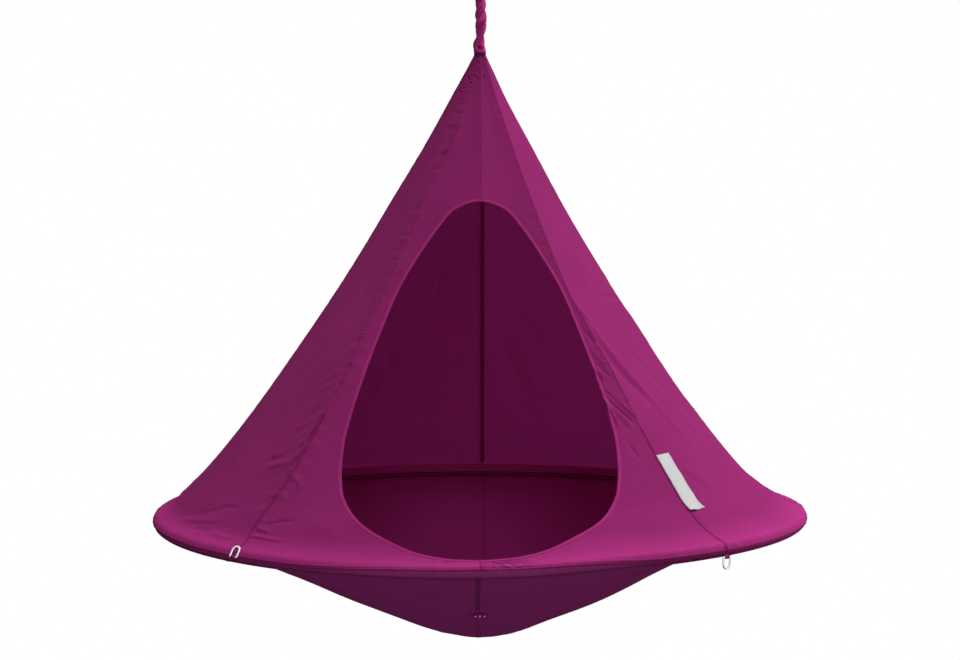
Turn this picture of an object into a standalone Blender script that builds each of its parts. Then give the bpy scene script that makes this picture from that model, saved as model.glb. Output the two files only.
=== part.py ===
"""Cocoon hammock: a cone of eight canvas gores over a shallow canvas bowl, stretched on a round tube ring.

It hangs from a ceiling plate by an oval karabiner and a doubled rope. Metres, +Z up, the door faces -Y.
The origin is the middle of the plate's upper face. Azimuths are in degrees from the front, towards +X.
Heights named in the tent's own sizes are measured from the middle plane of the ring.
"""

import math

import bmesh
import bpy
import numpy as np
from mathutils import Matrix, Vector

GAP = 0.0003

# Ring of bent tubes
RING_RADIUS = 0.7355
TUBE_RADIUS = 0.0125
TUBE_WALL = 0.0015
TUBE_SIDES = 10
RING_TUBES = 4
FIRST_JOINT = 18
JOINER_LENGTH = 0.120
JOINER_WALL = 0.0020

# Canvas: gores, sleeve, tapes and binding
GORES = 8
STEPS = 5
CANVAS = 0.0012
SLEEVE_SLIT = 60
SLEEVE_SIDES = 10
TAPE = 0.0010
TAPE_SEAT = 0.0004
TAPE_HALF_WIDTH = 0.0050
TAPE_HALF_WIDTH_TOP = 0.0028
BINDING_WIDTH = 0.0065
BINDING_THICK = 0.0020

# Canopy outline along a seam: share of its height, share of its spread
NECK_HEIGHT = 1.058
NECK_RADIUS = 0.0123
NECK_CUFF = 0.009
ROUND_SHARE = 0.52
CANOPY_OUTLINE = (
    (0.000, 1.000),
    (0.015, 0.951),
    (0.043, 0.909),
    (0.081, 0.851),
    (0.139, 0.777),
    (0.225, 0.681),
    (0.368, 0.535),
    (0.559, 0.354),
    (0.750, 0.192),
    (0.893, 0.077),
    (1.000, 0.000),
)

# Door: a teardrop cut in the two front gores, as shares of its half width and of its height
DOOR_TOP = 0.734
DOOR_BOTTOM = 0.0206
DOOR_HALF_WIDTH = 0.2966
DOOR_OUTLINE = (
    (0.000, 0.000),
    (0.220, 0.003),
    (0.430, 0.013),
    (0.684, 0.046),
    (0.844, 0.079),
    (0.938, 0.117),
    (0.984, 0.156),
    (1.000, 0.217),
    (0.990, 0.278),
    (0.942, 0.364),
    (0.840, 0.492),
    (0.718, 0.623),
    (0.611, 0.726),
    (0.474, 0.823),
    (0.306, 0.922),
    (0.186, 0.974),
    (0.000, 1.000),
)
DOOR_STATIONS = 15
ROWS_OVER_DOOR = 5

# Bowl outline: share of its radius, share of its depth
BOWL_DEPTH = 0.288
BOWL_EYE = 0.003
BOWL_OUTLINE = (
    (0.00, 1.000),
    (0.14, 0.905),
    (0.27, 0.758),
    (0.41, 0.590),
    (0.615, 0.316),
    (0.82, 0.092),
    (1.00, 0.000),
)
BOWL_ROWS = (0.14, 0.27, 0.41, 0.55, 0.70, 0.85, 1.0)

# Small sewn pieces
LABEL_WIDTH = 0.051
LABEL_LOW = 0.083
LABEL_HIGH = 0.194
LABEL_THICK = 0.0008
LABEL_OFF_SEAM = 0.002
WEBBING = 0.0012
TETHER_OUT = 0.290
TETHER_WIDTH = 0.026
TETHER_TAIL = 0.007
TETHER_LOOP = 0.015
TETHER_RISE = 0.0085
HOOK_AZIMUTH = 43
HOOK_WIRE = 0.00225
HOOK_WIDTH = 0.0195
HOOK_DROP = 0.024
HOOK_CORNER = 0.003
HOOK_OFF_RING = 0.0205
HOOK_TAB_WIDTH = 0.012
HOOK_TAB_REACH = 35
HOOK_TAB_ROOT = 10
LEFT_HOOK_TURN = 213

# Rope, sheath, knot, collar and neck tie
ROPE_RADIUS = 0.004
PAIR_RADIUS = 0.0043
ROPE_LAY = 0.064
ROPE_STEPS = 8
THROAT_OVER_NECK = 0.142
SHEATH_BELOW_THROAT = 0.016
SHEATH_RADIUS = 0.0106
SHEATH_LOBE = 0.0006
SHEATH_THICK = 0.0010
SHEATH_BULGE = 0.0158
SHEATH_SIDES = 12
TIE_RADIUS = 0.0012
TIE_PITCH = 0.0029
TIE_TURNS = 2
COLLAR_HEIGHT = 0.030
COLLAR_BELOW_NECK = 0.018
COLLAR_BORE = 0.0090
COLLAR_EDGE = 0.0020
COLLAR_SHOULDER = 0.0030
KNOT_RADIUS = 0.0100
KNOT_COIL = 0.0047
KNOT_COIL_TALL = 0.0056
KNOT_POINTS = 36

# Thimble
THIMBLE_WALL = 0.0015
EYE_RADIUS = 0.0158
EYE_SLANT = 25

# Karabiner and its gate
KARABINER_WIRE = 0.005
NOSE_WIRE = 0.0044
KARABINER_HALF_WIDTH = 0.021
KARABINER_HEIGHT = 0.100
GATE_RADIUS = 0.0045
GATE_LENGTH = 0.0436
GATE_SEAT = 0.0005
TANG_THICK = 0.004
TANG_HALF_WIDTH = 0.004
NOSE_THICK = 0.0036
NOSE_LENGTH = 0.007
NOSE_SHOULDER = 0.005
WELD_ROOT = 0.002
PIN_RADIUS = 0.0017
PIN_ABOVE_BEND = 0.0092
LOCK_LENGTH = 0.020
LOCK_RADIUS = 0.0072
LOCK_ABOVE_PIN = 0.006
GATE_CHAMFER = 0.0008
LOCK_CHAMFER = 0.0012

# Ceiling fitting
PLATE_RADIUS = 0.040
PLATE_THICK = 0.006
PLATE_BEVEL = 0.0012
STAPLE_WIRE = 0.005
STAPLE_HALF_WIDTH = 0.017
STAPLE_DROP = 0.034
SCREW_CIRCLE = 0.029
SCREW_RADIUS = 0.0026
SCREW_HEAD = 0.0050
SCREW_HEAD_HIGH = 0.0028
SCREW_LENGTH = 0.036
SCREWS = 4

# Sizes that follow
SLEEVE_INNER = TUBE_RADIUS + GAP
SLEEVE_CORNER = 1 / math.cos(math.radians((360 - SLEEVE_SLIT) / SLEEVE_SIDES / 2))
SLEEVE_OUTER = (SLEEVE_INNER + CANVAS) * SLEEVE_CORNER
SEAT_ON_SLEEVE = SLEEVE_OUTER + GAP + CANVAS
CANOPY_TOP = NECK_HEIGHT + NECK_CUFF
THROAT_HEIGHT = NECK_HEIGHT + THROAT_OVER_NECK
SHEATH_TOP = THROAT_HEIGHT - SHEATH_BELOW_THROAT
GORE_ANGLE = 360 / GORES
STEP_ANGLE = GORE_ANGLE / STEPS
STAPLE_BAR = -(PLATE_THICK + STAPLE_DROP)
KARABINER_TOP = STAPLE_BAR + STAPLE_WIRE + GAP + KARABINER_WIRE
KARABINER_FOOT = KARABINER_TOP - KARABINER_HEIGHT
THIMBLE_SHELL = ROPE_RADIUS + GAP + THIMBLE_WALL
EYE_CENTRE = KARABINER_FOOT + KARABINER_WIRE + GAP + THIMBLE_SHELL - EYE_RADIUS
EYE_COS = math.cos(math.radians(EYE_SLANT))
EYE_SIN = math.sin(math.radians(EYE_SLANT))
EYE_LEG = (EYE_RADIUS * EYE_COS - PAIR_RADIUS) / EYE_SIN
THROAT = EYE_CENTRE - EYE_RADIUS * EYE_SIN - EYE_LEG * EYE_COS
RING_PLANE = THROAT - THROAT_HEIGHT
PIN_HEIGHT = KARABINER_FOOT + KARABINER_HALF_WIDTH + PIN_ABOVE_BEND
COLLAR_TOP = NECK_HEIGHT - COLLAR_BELOW_NECK
COLLAR_FOOT = COLLAR_TOP - COLLAR_HEIGHT
KNOT_HEIGHT = COLLAR_FOOT - GAP - KNOT_COIL_TALL - ROPE_RADIUS
ROPE_FOOT = COLLAR_FOOT + GAP

GORE_NAMES = (
    "front_right",
    "right_front",
    "right_back",
    "back_right",
    "back_left",
    "left_back",
    "left_front",
    "front_left",
)
SEAM_NAMES = ("front", "front_right", "right", "back_right", "back", "back_left", "left", "front_left")
FINISHES = {
    "canvas": ((0.29, 0.035, 0.16, 1), 0.85, 0.0),
    "seam_tape": ((0.12, 0.010, 0.06, 1), 0.85, 0.0),
    "label_cloth": ((0.64, 0.63, 0.62, 1), 0.7, 0.0),
    "rope": ((0.55, 0.04, 0.03, 1), 0.8, 0.0),
    "aluminium": ((0.75, 0.75, 0.77, 1), 0.35, 1.0),
    "steel": ((0.62, 0.62, 0.64, 1), 0.25, 1.0),
    "turned_wood": ((0.45, 0.28, 0.14, 1), 0.55, 0.0),
}


def clear_scene():
    for item in list(bpy.data.objects):
        bpy.data.objects.remove(item)


def finish_of(name):
    made = bpy.data.materials.get(name)
    if made:
        return made
    colour, roughness, metallic = FINISHES[name]
    made = bpy.data.materials.new(name)
    made.use_nodes = True
    shader = made.node_tree.nodes["Principled BSDF"]
    shader.inputs["Base Color"].default_value = colour
    shader.inputs["Roughness"].default_value = roughness
    shader.inputs["Metallic"].default_value = metallic
    return made


def pivot(name, place, parent=None):
    """An empty on a joint's axis, which the pieces that turn there hang from."""
    empty = bpy.data.objects.new(name, None)
    empty.empty_display_size = 0.02
    bpy.context.collection.objects.link(empty)
    origin = parent["place"] if parent else (0, 0, 0)
    empty.location = Vector(place) - Vector(origin)
    empty["place"] = tuple(place)
    empty.parent = parent
    return empty


def place_object(name, data, finish, parent):
    piece = bpy.data.objects.new(name, data)
    data.materials.append(finish_of(finish))
    bpy.context.collection.objects.link(piece)
    piece.parent = parent
    return piece


def mesh_piece(name, points, faces, finish, parent):
    """A solid from world points, with its origin on its parent's pivot."""
    mesh = bpy.data.meshes.new(name)
    local = np.asarray(points, float).reshape(-1, 3) - np.array(parent["place"])
    mesh.from_pydata(local.tolist(), [], faces)
    shaped = bmesh.new()
    shaped.from_mesh(mesh)
    bmesh.ops.recalc_face_normals(shaped, faces=shaped.faces)
    shaped.to_mesh(mesh)
    shaped.free()
    mesh.shade_smooth()
    mesh.set_sharp_from_angle(angle=math.radians(35))
    return place_object(name, mesh, finish, parent)


def wire_piece(name, route, radius, finish, parent, closed=False, sides=2, swell=None):
    """A round wire or cord along world points, as a bevelled curve."""
    curve = bpy.data.curves.new(name, "CURVE")
    curve.dimensions = "3D"
    curve.bevel_depth = radius
    curve.bevel_resolution = sides
    curve.use_fill_caps = not closed
    spline = curve.splines.new("POLY")
    local = np.asarray(route, float) - np.array(parent["place"])
    spline.points.add(len(local) - 1)
    spline.points.foreach_set("co", np.c_[local, np.ones(len(local))].ravel())
    if swell is not None:
        spline.points.foreach_set("radius", swell)
    spline.use_cyclic_u = closed
    return place_object(name, curve, finish, parent)


def as_mesh(piece):
    """The piece's curve made a mesh, so that it takes a Boolean."""
    bpy.context.view_layer.update()
    mesh = bpy.data.meshes.new_from_object(piece.evaluated_get(bpy.context.evaluated_depsgraph_get()))
    solid = bpy.data.objects.new(piece.name + "_solid", mesh)
    bpy.context.collection.objects.link(solid)
    solid.parent = piece.parent
    name = piece.name
    bpy.data.objects.remove(piece)
    solid.name = name
    return solid


def combine(piece, other, operation):
    """A live Boolean with a helper that isn't part of the object."""
    other.hide_render = True
    other.display_type = "WIRE"
    boolean = piece.modifiers.new(other.name, "BOOLEAN")
    boolean.operation = operation
    boolean.object = other
    return piece


def box_solid(name, low, high, finish, parent):
    corners = [(x, y, z) for x in (low[0], high[0]) for y in (low[1], high[1]) for z in (low[2], high[2])]
    faces = [(0, 1, 3, 2), (4, 6, 7, 5), (0, 4, 5, 1), (2, 3, 7, 6), (0, 2, 6, 4), (1, 5, 7, 3)]
    return mesh_piece(name, corners, faces, finish, parent)


def round_bar(name, centre, radius, length, axis, finish, parent, sides=16):
    """A cylinder about a point, along X, Y or Z."""
    shaped = bmesh.new()
    turn = {"X": Matrix.Rotation(math.pi / 2, 4, "Y"), "Y": Matrix.Rotation(math.pi / 2, 4, "X")}
    place = Matrix.Translation(Vector(centre) - Vector(parent["place"]))
    bmesh.ops.create_cone(
        shaped,
        cap_ends=True,
        segments=sides,
        radius1=radius,
        radius2=radius,
        depth=length,
        matrix=place @ turn.get(axis, Matrix()),
    )
    mesh = bpy.data.meshes.new(name)
    shaped.to_mesh(mesh)
    shaped.free()
    mesh.shade_smooth()
    mesh.set_sharp_from_angle(angle=math.radians(35))
    return place_object(name, mesh, finish, parent)


def turned(name, outline, centre, finish, parent, sides=24):
    """A profile of (radius, height) points spun about a vertical axis; its ends may lie on the axis."""
    middle = Vector(centre) - Vector(parent["place"])
    shaped = bmesh.new()
    rail = [shaped.verts.new((middle.x + radius, middle.y, middle.z + height)) for radius, height in outline]
    edges = [shaped.edges.new(pair) for pair in zip(rail, rail[1:])]
    if outline[0][0] > 0:
        edges.append(shaped.edges.new((rail[-1], rail[0])))
    bmesh.ops.spin(
        shaped,
        geom=rail + edges,
        cent=middle,
        axis=(0, 0, 1),
        angle=2 * math.pi,
        steps=sides,
        use_merge=True,
    )
    bmesh.ops.remove_doubles(shaped, verts=shaped.verts, dist=1e-6)
    bmesh.ops.recalc_face_normals(shaped, faces=shaped.faces)
    mesh = bpy.data.meshes.new(name)
    shaped.to_mesh(mesh)
    shaped.free()
    mesh.shade_smooth()
    mesh.set_sharp_from_angle(angle=math.radians(35))
    return place_object(name, mesh, finish, parent)


def two_skins(outer, inner):
    """Points and faces of a sheet between two grids of the same shape."""
    rows, columns = outer.shape[:2]
    index = np.arange(2 * rows * columns).reshape(2, rows, columns)

    def quads(grid):
        return np.stack([grid[:-1, :-1], grid[1:, :-1], grid[1:, 1:], grid[:-1, 1:]], -1).reshape(-1, 4)

    front, back = index
    edges = [
        quads(np.stack([front[0], back[0]])),
        quads(np.stack([front[-1], back[-1]])),
        quads(np.stack([front[:, 0], back[:, 0]])),
        quads(np.stack([front[:, -1], back[:, -1]])),
    ]
    faces = np.concatenate([quads(front), quads(back), *edges])
    return np.concatenate([outer.reshape(-1, 3), inner.reshape(-1, 3)]), faces.tolist()


def rings_joined(rings, closed):
    """Points and faces of a skin over a row of like loops; an open row gets a face on each end."""
    rings = np.asarray(rings)
    count, sides = rings.shape[:2]
    index = np.arange(count * sides).reshape(count, sides)
    index = np.concatenate([index, index[:, :1]], 1)
    if closed:
        index = np.concatenate([index, index[:1]], 0)
    corners = [index[:-1, :-1], index[1:, :-1], index[1:, 1:], index[:-1, 1:]]
    faces = np.stack(corners, -1).reshape(-1, 4).tolist()
    if not closed:
        faces += [index[0, :-1].tolist(), index[-1, :-1][::-1].tolist()]
    return rings.reshape(-1, 3), faces


def strap_piece(name, line, across, width, thick, finish, parent):
    """A flat strap: a line of points, thickened square to itself and given its width along one direction."""
    line = np.asarray(line)
    across = np.asarray(across) / np.linalg.norm(across)
    along = np.gradient(line, axis=0)
    along /= np.linalg.norm(along, axis=1)[:, None]
    out = np.cross(along, across) * thick / 2
    side = across * width / 2
    rings = np.stack([line + out + side, line + out - side, line - out - side, line - out + side], 1)
    return mesh_piece(name, *rings_joined(rings, False), finish, parent)


def smooth_through(knots, at):
    """A curve through (x, y) knots that never overshoots them: cubic pieces with limited slopes."""
    x, y = np.array(knots).T
    slope = np.diff(y) / np.diff(x)
    middle = np.where(slope[:-1] * slope[1:] > 0, 2 * slope[:-1] * slope[1:] / (slope[:-1] + slope[1:]), 0)
    tangent = np.concatenate([slope[:1], middle, slope[-1:]])
    at = np.clip(at, x[0], x[-1])
    i = np.clip(np.searchsorted(x, at, side="right") - 1, 0, len(slope) - 1)
    span = np.diff(x)[i]
    t = (at - x[i]) / span
    rise = (2 * t**3 - 3 * t**2 + 1) * y[i] + (3 * t**2 - 2 * t**3) * y[i + 1]
    return rise + span * ((t**3 - 2 * t**2 + t) * tangent[i] + (t**3 - t**2) * tangent[i + 1])


def around(azimuth, radius, height, shift=0.0):
    """World points at an azimuth, a radius and a height over the ring, moved sideways by shift."""
    turn = np.radians(azimuth)
    x = radius * np.sin(turn) + shift * np.cos(turn)
    y = -radius * np.cos(turn) + shift * np.sin(turn)
    return np.stack(np.broadcast_arrays(x, y, height + RING_PLANE), -1)


def canopy_radius(azimuth, height):
    """The canopy's outer radius: round above the ring, flat between the seams higher up."""
    share = (height - SEAT_ON_SLEEVE) / (NECK_HEIGHT - SEAT_ON_SLEEVE)
    seam = NECK_RADIUS + (RING_RADIUS - NECK_RADIUS) * smooth_through(CANOPY_OUTLINE, share)
    half = math.radians(GORE_ANGLE / 2)
    off = np.mod(np.radians(azimuth), 2 * half) - half
    flat = math.cos(half) / np.cos(off)
    roundness = np.clip(1 - height / (ROUND_SHARE * NECK_HEIGHT), 0, 1)
    return seam * (flat + (1 - flat) * roundness)


def canopy_skin(azimuth, height, depth, shift=0.0):
    """The canopy's surface, sunk by depth square to its slope."""
    azimuth, height = np.broadcast_arrays(np.asarray(azimuth, float), np.asarray(height, float))
    step = 1e-4
    slope = (canopy_radius(azimuth, height + step) - canopy_radius(azimuth, height - step)) / (2 * step)
    length = np.hypot(1, slope)
    radius = canopy_radius(azimuth, height) - depth / length
    return around(azimuth, radius, height + depth * slope / length, shift)


def bowl_height(radius):
    share = np.asarray(radius) / RING_RADIUS
    return -SEAT_ON_SLEEVE - (BOWL_DEPTH - SEAT_ON_SLEEVE) * smooth_through(BOWL_OUTLINE, share)


def bowl_skin(azimuth, radius, depth, shift=0.0):
    """The bowl's underside, raised by depth square to its slope."""
    azimuth, radius = np.broadcast_arrays(np.asarray(azimuth, float), np.asarray(radius, float))
    step = 1e-4
    slope = (bowl_height(radius + step) - bowl_height(radius - step)) / (2 * step)
    length = np.hypot(1, slope)
    return around(azimuth, radius - depth * slope / length, bowl_height(radius) + depth / length, shift)


def door_stations():
    """Points along the door's right half, evenly spaced from its foot to its top: half widths and heights."""
    x, y = np.array(DOOR_OUTLINE).T * np.array([[DOOR_HALF_WIDTH], [DOOR_TOP - DOOR_BOTTOM]])
    run = np.concatenate([[0], np.cumsum(np.hypot(np.diff(x), np.diff(y)))])
    at = np.linspace(0, run[-1], DOOR_STATIONS + 1)
    return smooth_through(list(zip(run, x)), at), DOOR_BOTTOM + smooth_through(list(zip(run, y)), at)


def canopy_rows():
    """Every gore's row heights, and the azimuth of the door's edge at each: 0 above and below the door."""
    half, door = door_stations()
    over = np.linspace(DOOR_TOP, NECK_HEIGHT, ROWS_OVER_DOOR + 1)[1:]
    heights = np.concatenate([[SEAT_ON_SLEEVE], door, over, [CANOPY_TOP]])
    half = np.concatenate([[0], half, 0 * over, [0]])
    azimuth = np.zeros_like(heights)
    for _ in range(6):
        azimuth = np.degrees(np.arcsin(half / canopy_radius(azimuth, heights)))
    return heights, azimuth


def gore_columns(number):
    """Azimuths of a canopy gore's rows and columns; the front gores start at the door's edge."""
    heights, door = canopy_rows()
    start = np.full_like(heights, number * GORE_ANGLE)
    end = start + GORE_ANGLE
    if number == 0:
        start = start + door
    if number == GORES - 1:
        end = end - door
    return heights, start[:, None] + (end - start)[:, None] * np.linspace(0, 1, STEPS + 1)


def sheet_between(azimuths, heights, skin, depth_out, depth_in):
    """A sheet whose first and last columns keep half a gap from the seams' planes."""
    shift = np.zeros(azimuths.shape[1])
    shift[0] = GAP / 2
    shift[-1] = -GAP / 2
    return two_skins(skin(azimuths, heights, depth_out, shift), skin(azimuths, heights, depth_in, shift))


def canopy_gores(tent):
    for number, name in enumerate(GORE_NAMES):
        heights, azimuths = gore_columns(number)
        points, faces = sheet_between(azimuths, heights[:, None], canopy_skin, 0, CANVAS)
        mesh_piece("canopy_gore_" + name, points, faces, "canvas", tent)


def bowl_gores(tent):
    radii = np.concatenate([[BOWL_EYE], RING_RADIUS * np.array(BOWL_ROWS)])
    for number, name in enumerate(GORE_NAMES):
        columns = number * GORE_ANGLE + STEP_ANGLE * np.arange(STEPS + 1)
        azimuths = np.broadcast_to(columns, (len(radii), STEPS + 1))
        points, faces = sheet_between(azimuths, radii[:, None], bowl_skin, 0, CANVAS)
        mesh_piece("bowl_gore_" + name, points, faces, "canvas", tent)


def beside_seam(azimuths, seam, heights, depth, away):
    """Points on a gore's facets at distances from its seam; azimuths are those of the seam's next column."""
    first = canopy_skin(seam, heights, depth)
    side = canopy_skin(azimuths, heights, depth) - first
    side /= np.linalg.norm(side, axis=1)[:, None]
    return first + side * np.reshape(away, (-1, 1))


def seam_tapes(tent):
    """A narrow tape inside each seam, folded to the seam's angle and narrowed towards the neck."""
    heights, door = canopy_rows()
    climb = (heights - SEAT_ON_SLEEVE) / (NECK_HEIGHT - SEAT_ON_SLEEVE)
    half = TAPE_HALF_WIDTH + (TAPE_HALF_WIDTH_TOP - TAPE_HALF_WIDTH) * climb**4
    for number, name in enumerate(SEAM_NAMES):
        low = DOOR_TOP if name == "front" else DOOR_BOTTOM
        keep = (heights > low) & (heights < CANOPY_TOP)
        seam = number * GORE_ANGLE
        right = gore_columns(number)[1][:, 1]
        left = gore_columns((number - 1) % GORES)[1][:, -2] - (GORES * GORE_ANGLE if number == 0 else 0)

        def skin(depth):
            sides = [
                beside_seam(left[keep], seam, heights[keep], depth, half[keep]),
                canopy_skin(seam, heights[keep], depth),
                beside_seam(right[keep], seam, heights[keep], depth, half[keep]),
            ]
            return np.stack(sides, 1)

        depth = CANVAS + TAPE_SEAT
        mesh_piece("seam_tape_" + name, *two_skins(skin(depth), skin(depth + TAPE)), "seam_tape", tent)


def ring_line(azimuth):
    """The tube's centreline: straight between stations one step apart, as (radial direction, point)."""
    low = STEP_ANGLE * np.floor(np.asarray(azimuth) / STEP_ANGLE)
    share = ((azimuth - low) / STEP_ANGLE)[..., None]
    here = around(low, RING_RADIUS, 0)
    return here + (around(low + STEP_ANGLE, RING_RADIUS, 0) - here) * share


def ring_loops(azimuths, radius, angles):
    """Loops of a ring tube's or sleeve's section at each azimuth; angle 0 of a section points outwards."""
    turn = np.radians(azimuths)[:, None, None]
    out = np.concatenate([np.sin(turn), -np.cos(turn), 0 * turn], -1)
    section = np.radians(angles)[None, :, None]
    up = np.array([0, 0, 1.0])
    return ring_line(azimuths)[:, None] + radius * (np.cos(section) * out + np.sin(section) * up)


def hollow_arc(name, azimuths, outer, inner, finish, tent):
    angles = 360 * (np.arange(TUBE_SIDES) + 0.5) / TUBE_SIDES
    skin = ring_loops(azimuths, outer, angles)
    bore = ring_loops(azimuths, inner, angles)
    mesh_piece(name, *rings_joined(np.concatenate([skin, bore[::-1]]), True), finish, tent)


def ring_tubes(tent):
    """Bent tubes butted end to end, with a joiner pushed into each pair of ends."""
    half_gap = math.degrees(GAP / RING_RADIUS)
    reach = math.degrees(JOINER_LENGTH / 2 / RING_RADIUS)
    bore = TUBE_RADIUS - TUBE_WALL
    span = 360 / RING_TUBES
    for number in range(RING_TUBES):
        joint = FIRST_JOINT + number * span
        first, last = math.floor(joint / STEP_ANGLE), math.ceil((joint + span) / STEP_ANGLE)
        stations = STEP_ANGLE * np.arange(first, last + 1)
        inside = stations[(stations > joint + half_gap) & (stations < joint + span - half_gap)]
        azimuths = np.concatenate([[joint + half_gap], inside, [joint + span - half_gap]])
        hollow_arc(f"ring_tube_{number + 1}", azimuths, TUBE_RADIUS, bore, "aluminium", tent)
        ends = np.array([joint - reach, joint, joint + reach])
        outer = bore - GAP
        hollow_arc(f"ring_joiner_{number + 1}", ends, outer, outer - JOINER_WALL, "aluminium", tent)


def rim_sleeve(tent):
    """The canvas round the ring, with its slit towards the inside, where canopy and bowl are sewn to it."""
    azimuths = STEP_ANGLE * np.arange(round(360 / STEP_ANGLE))
    angles = np.linspace(-180 + SLEEVE_SLIT / 2, 180 - SLEEVE_SLIT / 2, SLEEVE_SIDES + 1)
    outer = ring_loops(azimuths, SLEEVE_OUTER, angles)
    inner = ring_loops(azimuths, SLEEVE_INNER * SLEEVE_CORNER, angles)
    mesh_piece("rim_sleeve", *rings_joined(np.concatenate([outer, inner[:, ::-1]], 1), True), "canvas", tent)


def door_binding(tent):
    """A folded band along the door's cut edge, on the same stations as the gores."""
    heights, azimuth = canopy_rows()
    keep = (heights >= DOOR_BOTTOM) & (heights <= DOOR_TOP)
    heights, azimuth = heights[keep], azimuth[keep]
    loop_azimuth = np.concatenate([azimuth, -azimuth[-2:0:-1]])
    loop_height = np.concatenate([heights, heights[-2:0:-1]])
    edge = canopy_skin(loop_azimuth, loop_height, CANVAS / 2)
    normal = canopy_skin(loop_azimuth, loop_height, -CANVAS) - edge
    normal /= np.linalg.norm(normal, axis=1)[:, None]
    along = np.roll(edge, -1, 0) - np.roll(edge, 1, 0)
    inward = np.cross(normal, along)
    inward /= np.linalg.norm(inward, axis=1)[:, None]
    near = edge + inward * 2 * GAP
    far = edge + inward * (2 * GAP + BINDING_WIDTH)
    lift = normal * BINDING_THICK / 2
    rings = np.stack([near + lift, far + lift, far - lift, near - lift], 1)
    mesh_piece("door_binding", *rings_joined(rings, True), "canvas", tent)


def side_label(tent):
    """A blank woven strip that lies along the right front seam, on the facets of the gore beside it."""
    rows = canopy_rows()[0]
    seam = GORE_ANGLE
    next_column = np.full_like(rows, seam + STEP_ANGLE)
    between = rows[(rows > LABEL_LOW) & (rows < LABEL_HIGH)]
    heights = np.concatenate([[LABEL_LOW], between, [LABEL_HIGH]])

    def edge(depth, away):
        line = beside_seam(next_column, seam, rows, depth, away)
        return np.stack([np.interp(heights, rows, line[:, k]) for k in range(3)], 1)

    def skin(depth):
        return np.stack([edge(depth, LABEL_OFF_SEAM), edge(depth, LABEL_OFF_SEAM + LABEL_WIDTH)], 1)

    points, faces = two_skins(skin(-2 * GAP - LABEL_THICK), skin(-2 * GAP))
    mesh_piece("side_label", points, faces, "label_cloth", tent)


def tether_loop(tent):
    """A webbing loop sewn low on the bowl's front seam: a tail, a standing loop and a tail."""
    run = 2 * TETHER_TAIL + TETHER_LOOP
    slope = float((bowl_height(TETHER_OUT + run / 2) - bowl_height(TETHER_OUT - run / 2)) / run)
    flat = np.array([0, -1, slope]) / math.hypot(1, slope)
    out = np.array([0, -slope, -1]) / math.hypot(1, slope)
    seat = around(0, TETHER_OUT, bowl_height(TETHER_OUT)) + out * (3 * GAP + WEBBING / 2)
    bend = np.radians(np.linspace(0, 180, 9))
    loop = np.stack([-np.cos(bend) * TETHER_LOOP / 2, np.sin(bend) * TETHER_RISE], 1)
    ends = [[-run / 2, 0]], [[run / 2, 0]]
    line = np.concatenate([ends[0], loop, ends[1]])
    path = seat + line[:, :1] * flat + line[:, 1:] * out
    strap_piece("tether_loop", path, (1, 0, 0), TETHER_WIDTH, WEBBING, "canvas", tent)


def hook_frame(azimuth):
    """The bar's middle of a D-ring off its straight side of the ring, the way along that side, and the way out."""
    middle = STEP_ANGLE * (math.floor(azimuth / STEP_ANGLE) + 0.5)
    turn = math.radians(middle)
    out = np.array([math.sin(turn), -math.cos(turn), 0])
    along = np.array([math.cos(turn), math.sin(turn), 0])
    inner = RING_RADIUS * math.cos(math.radians(STEP_ANGLE / 2))
    aside = inner * math.tan(math.radians(azimuth - middle))
    return around(middle, inner + HOOK_OFF_RING, 0) + aside * along, along, out


def hook_ring(name, azimuth, turn, parent):
    """A closed D of wire; turn 0 hangs straight down, 90 stands straight out."""
    bar, along, out = hook_frame(azimuth)
    swing = math.radians(turn)
    drop = math.sin(swing) * out - math.cos(swing) * np.array([0, 0, 1.0])
    half = HOOK_WIDTH / 2
    bow = np.radians(np.linspace(0, 180, 11))
    corner = np.radians(np.linspace(0, 90, 4))
    side = np.concatenate(
        [
            half - HOOK_CORNER + HOOK_CORNER * np.sin(corner),
            half * np.cos(bow),
            -(half - HOOK_CORNER + HOOK_CORNER * np.sin(corner[::-1])),
        ]
    )
    down = np.concatenate(
        [
            HOOK_CORNER * (1 - np.cos(corner)),
            HOOK_DROP - half + half * np.sin(bow),
            HOOK_CORNER * (1 - np.cos(corner[::-1])),
        ]
    )
    route = bar + side[:, None] * along + down[:, None] * drop
    wire_piece(name, route, HOOK_WIRE, "steel", parent, closed=True, sides=2)


def hook_tab(name, azimuth, tent):
    """Webbing folded round the D-ring's bar, with both tails on the rim sleeve."""
    bar, along, out = hook_frame(azimuth)
    seat = SLEEVE_OUTER + GAP + WEBBING / 2
    barrel = HOOK_WIRE + GAP + WEBBING / 2
    reach = np.radians(np.linspace(-HOOK_TAB_REACH, -HOOK_TAB_ROOT, 4))
    low = np.stack([seat * np.cos(reach) - HOOK_OFF_RING, seat * np.sin(reach)], 1)
    round_bar_line = np.radians(np.linspace(-150, 150, 11))
    wrap = barrel * np.stack([np.cos(round_bar_line), np.sin(round_bar_line)], 1)
    line = np.concatenate([low, wrap, low[::-1] * (1, -1)])
    path = bar + line[:, :1] * out + line[:, 1:] * np.array([0, 0, 1.0])
    strap_piece(name, path, along, HOOK_TAB_WIDTH, WEBBING, "canvas", tent)


def strand(heights, phase):
    """One strand of the doubled rope: a helix that ends in the thimble's plane at the throat."""
    angle = 2 * math.pi * (heights - THROAT_HEIGHT) / ROPE_LAY + math.pi / 2 + phase
    x, y = PAIR_RADIUS * np.cos(angle), PAIR_RADIUS * np.sin(angle)
    return np.stack([x, y, heights + RING_PLANE], 1)


def eye_points(steps):
    """The rope's centreline round the thimble, from its right leg over the crown to its left leg."""
    bend = np.radians(np.linspace(-EYE_SLANT, 180 + EYE_SLANT, steps))
    zero = np.zeros_like(bend)
    return np.stack([zero, EYE_RADIUS * np.cos(bend), EYE_CENTRE + EYE_RADIUS * np.sin(bend)], 1)


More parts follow.
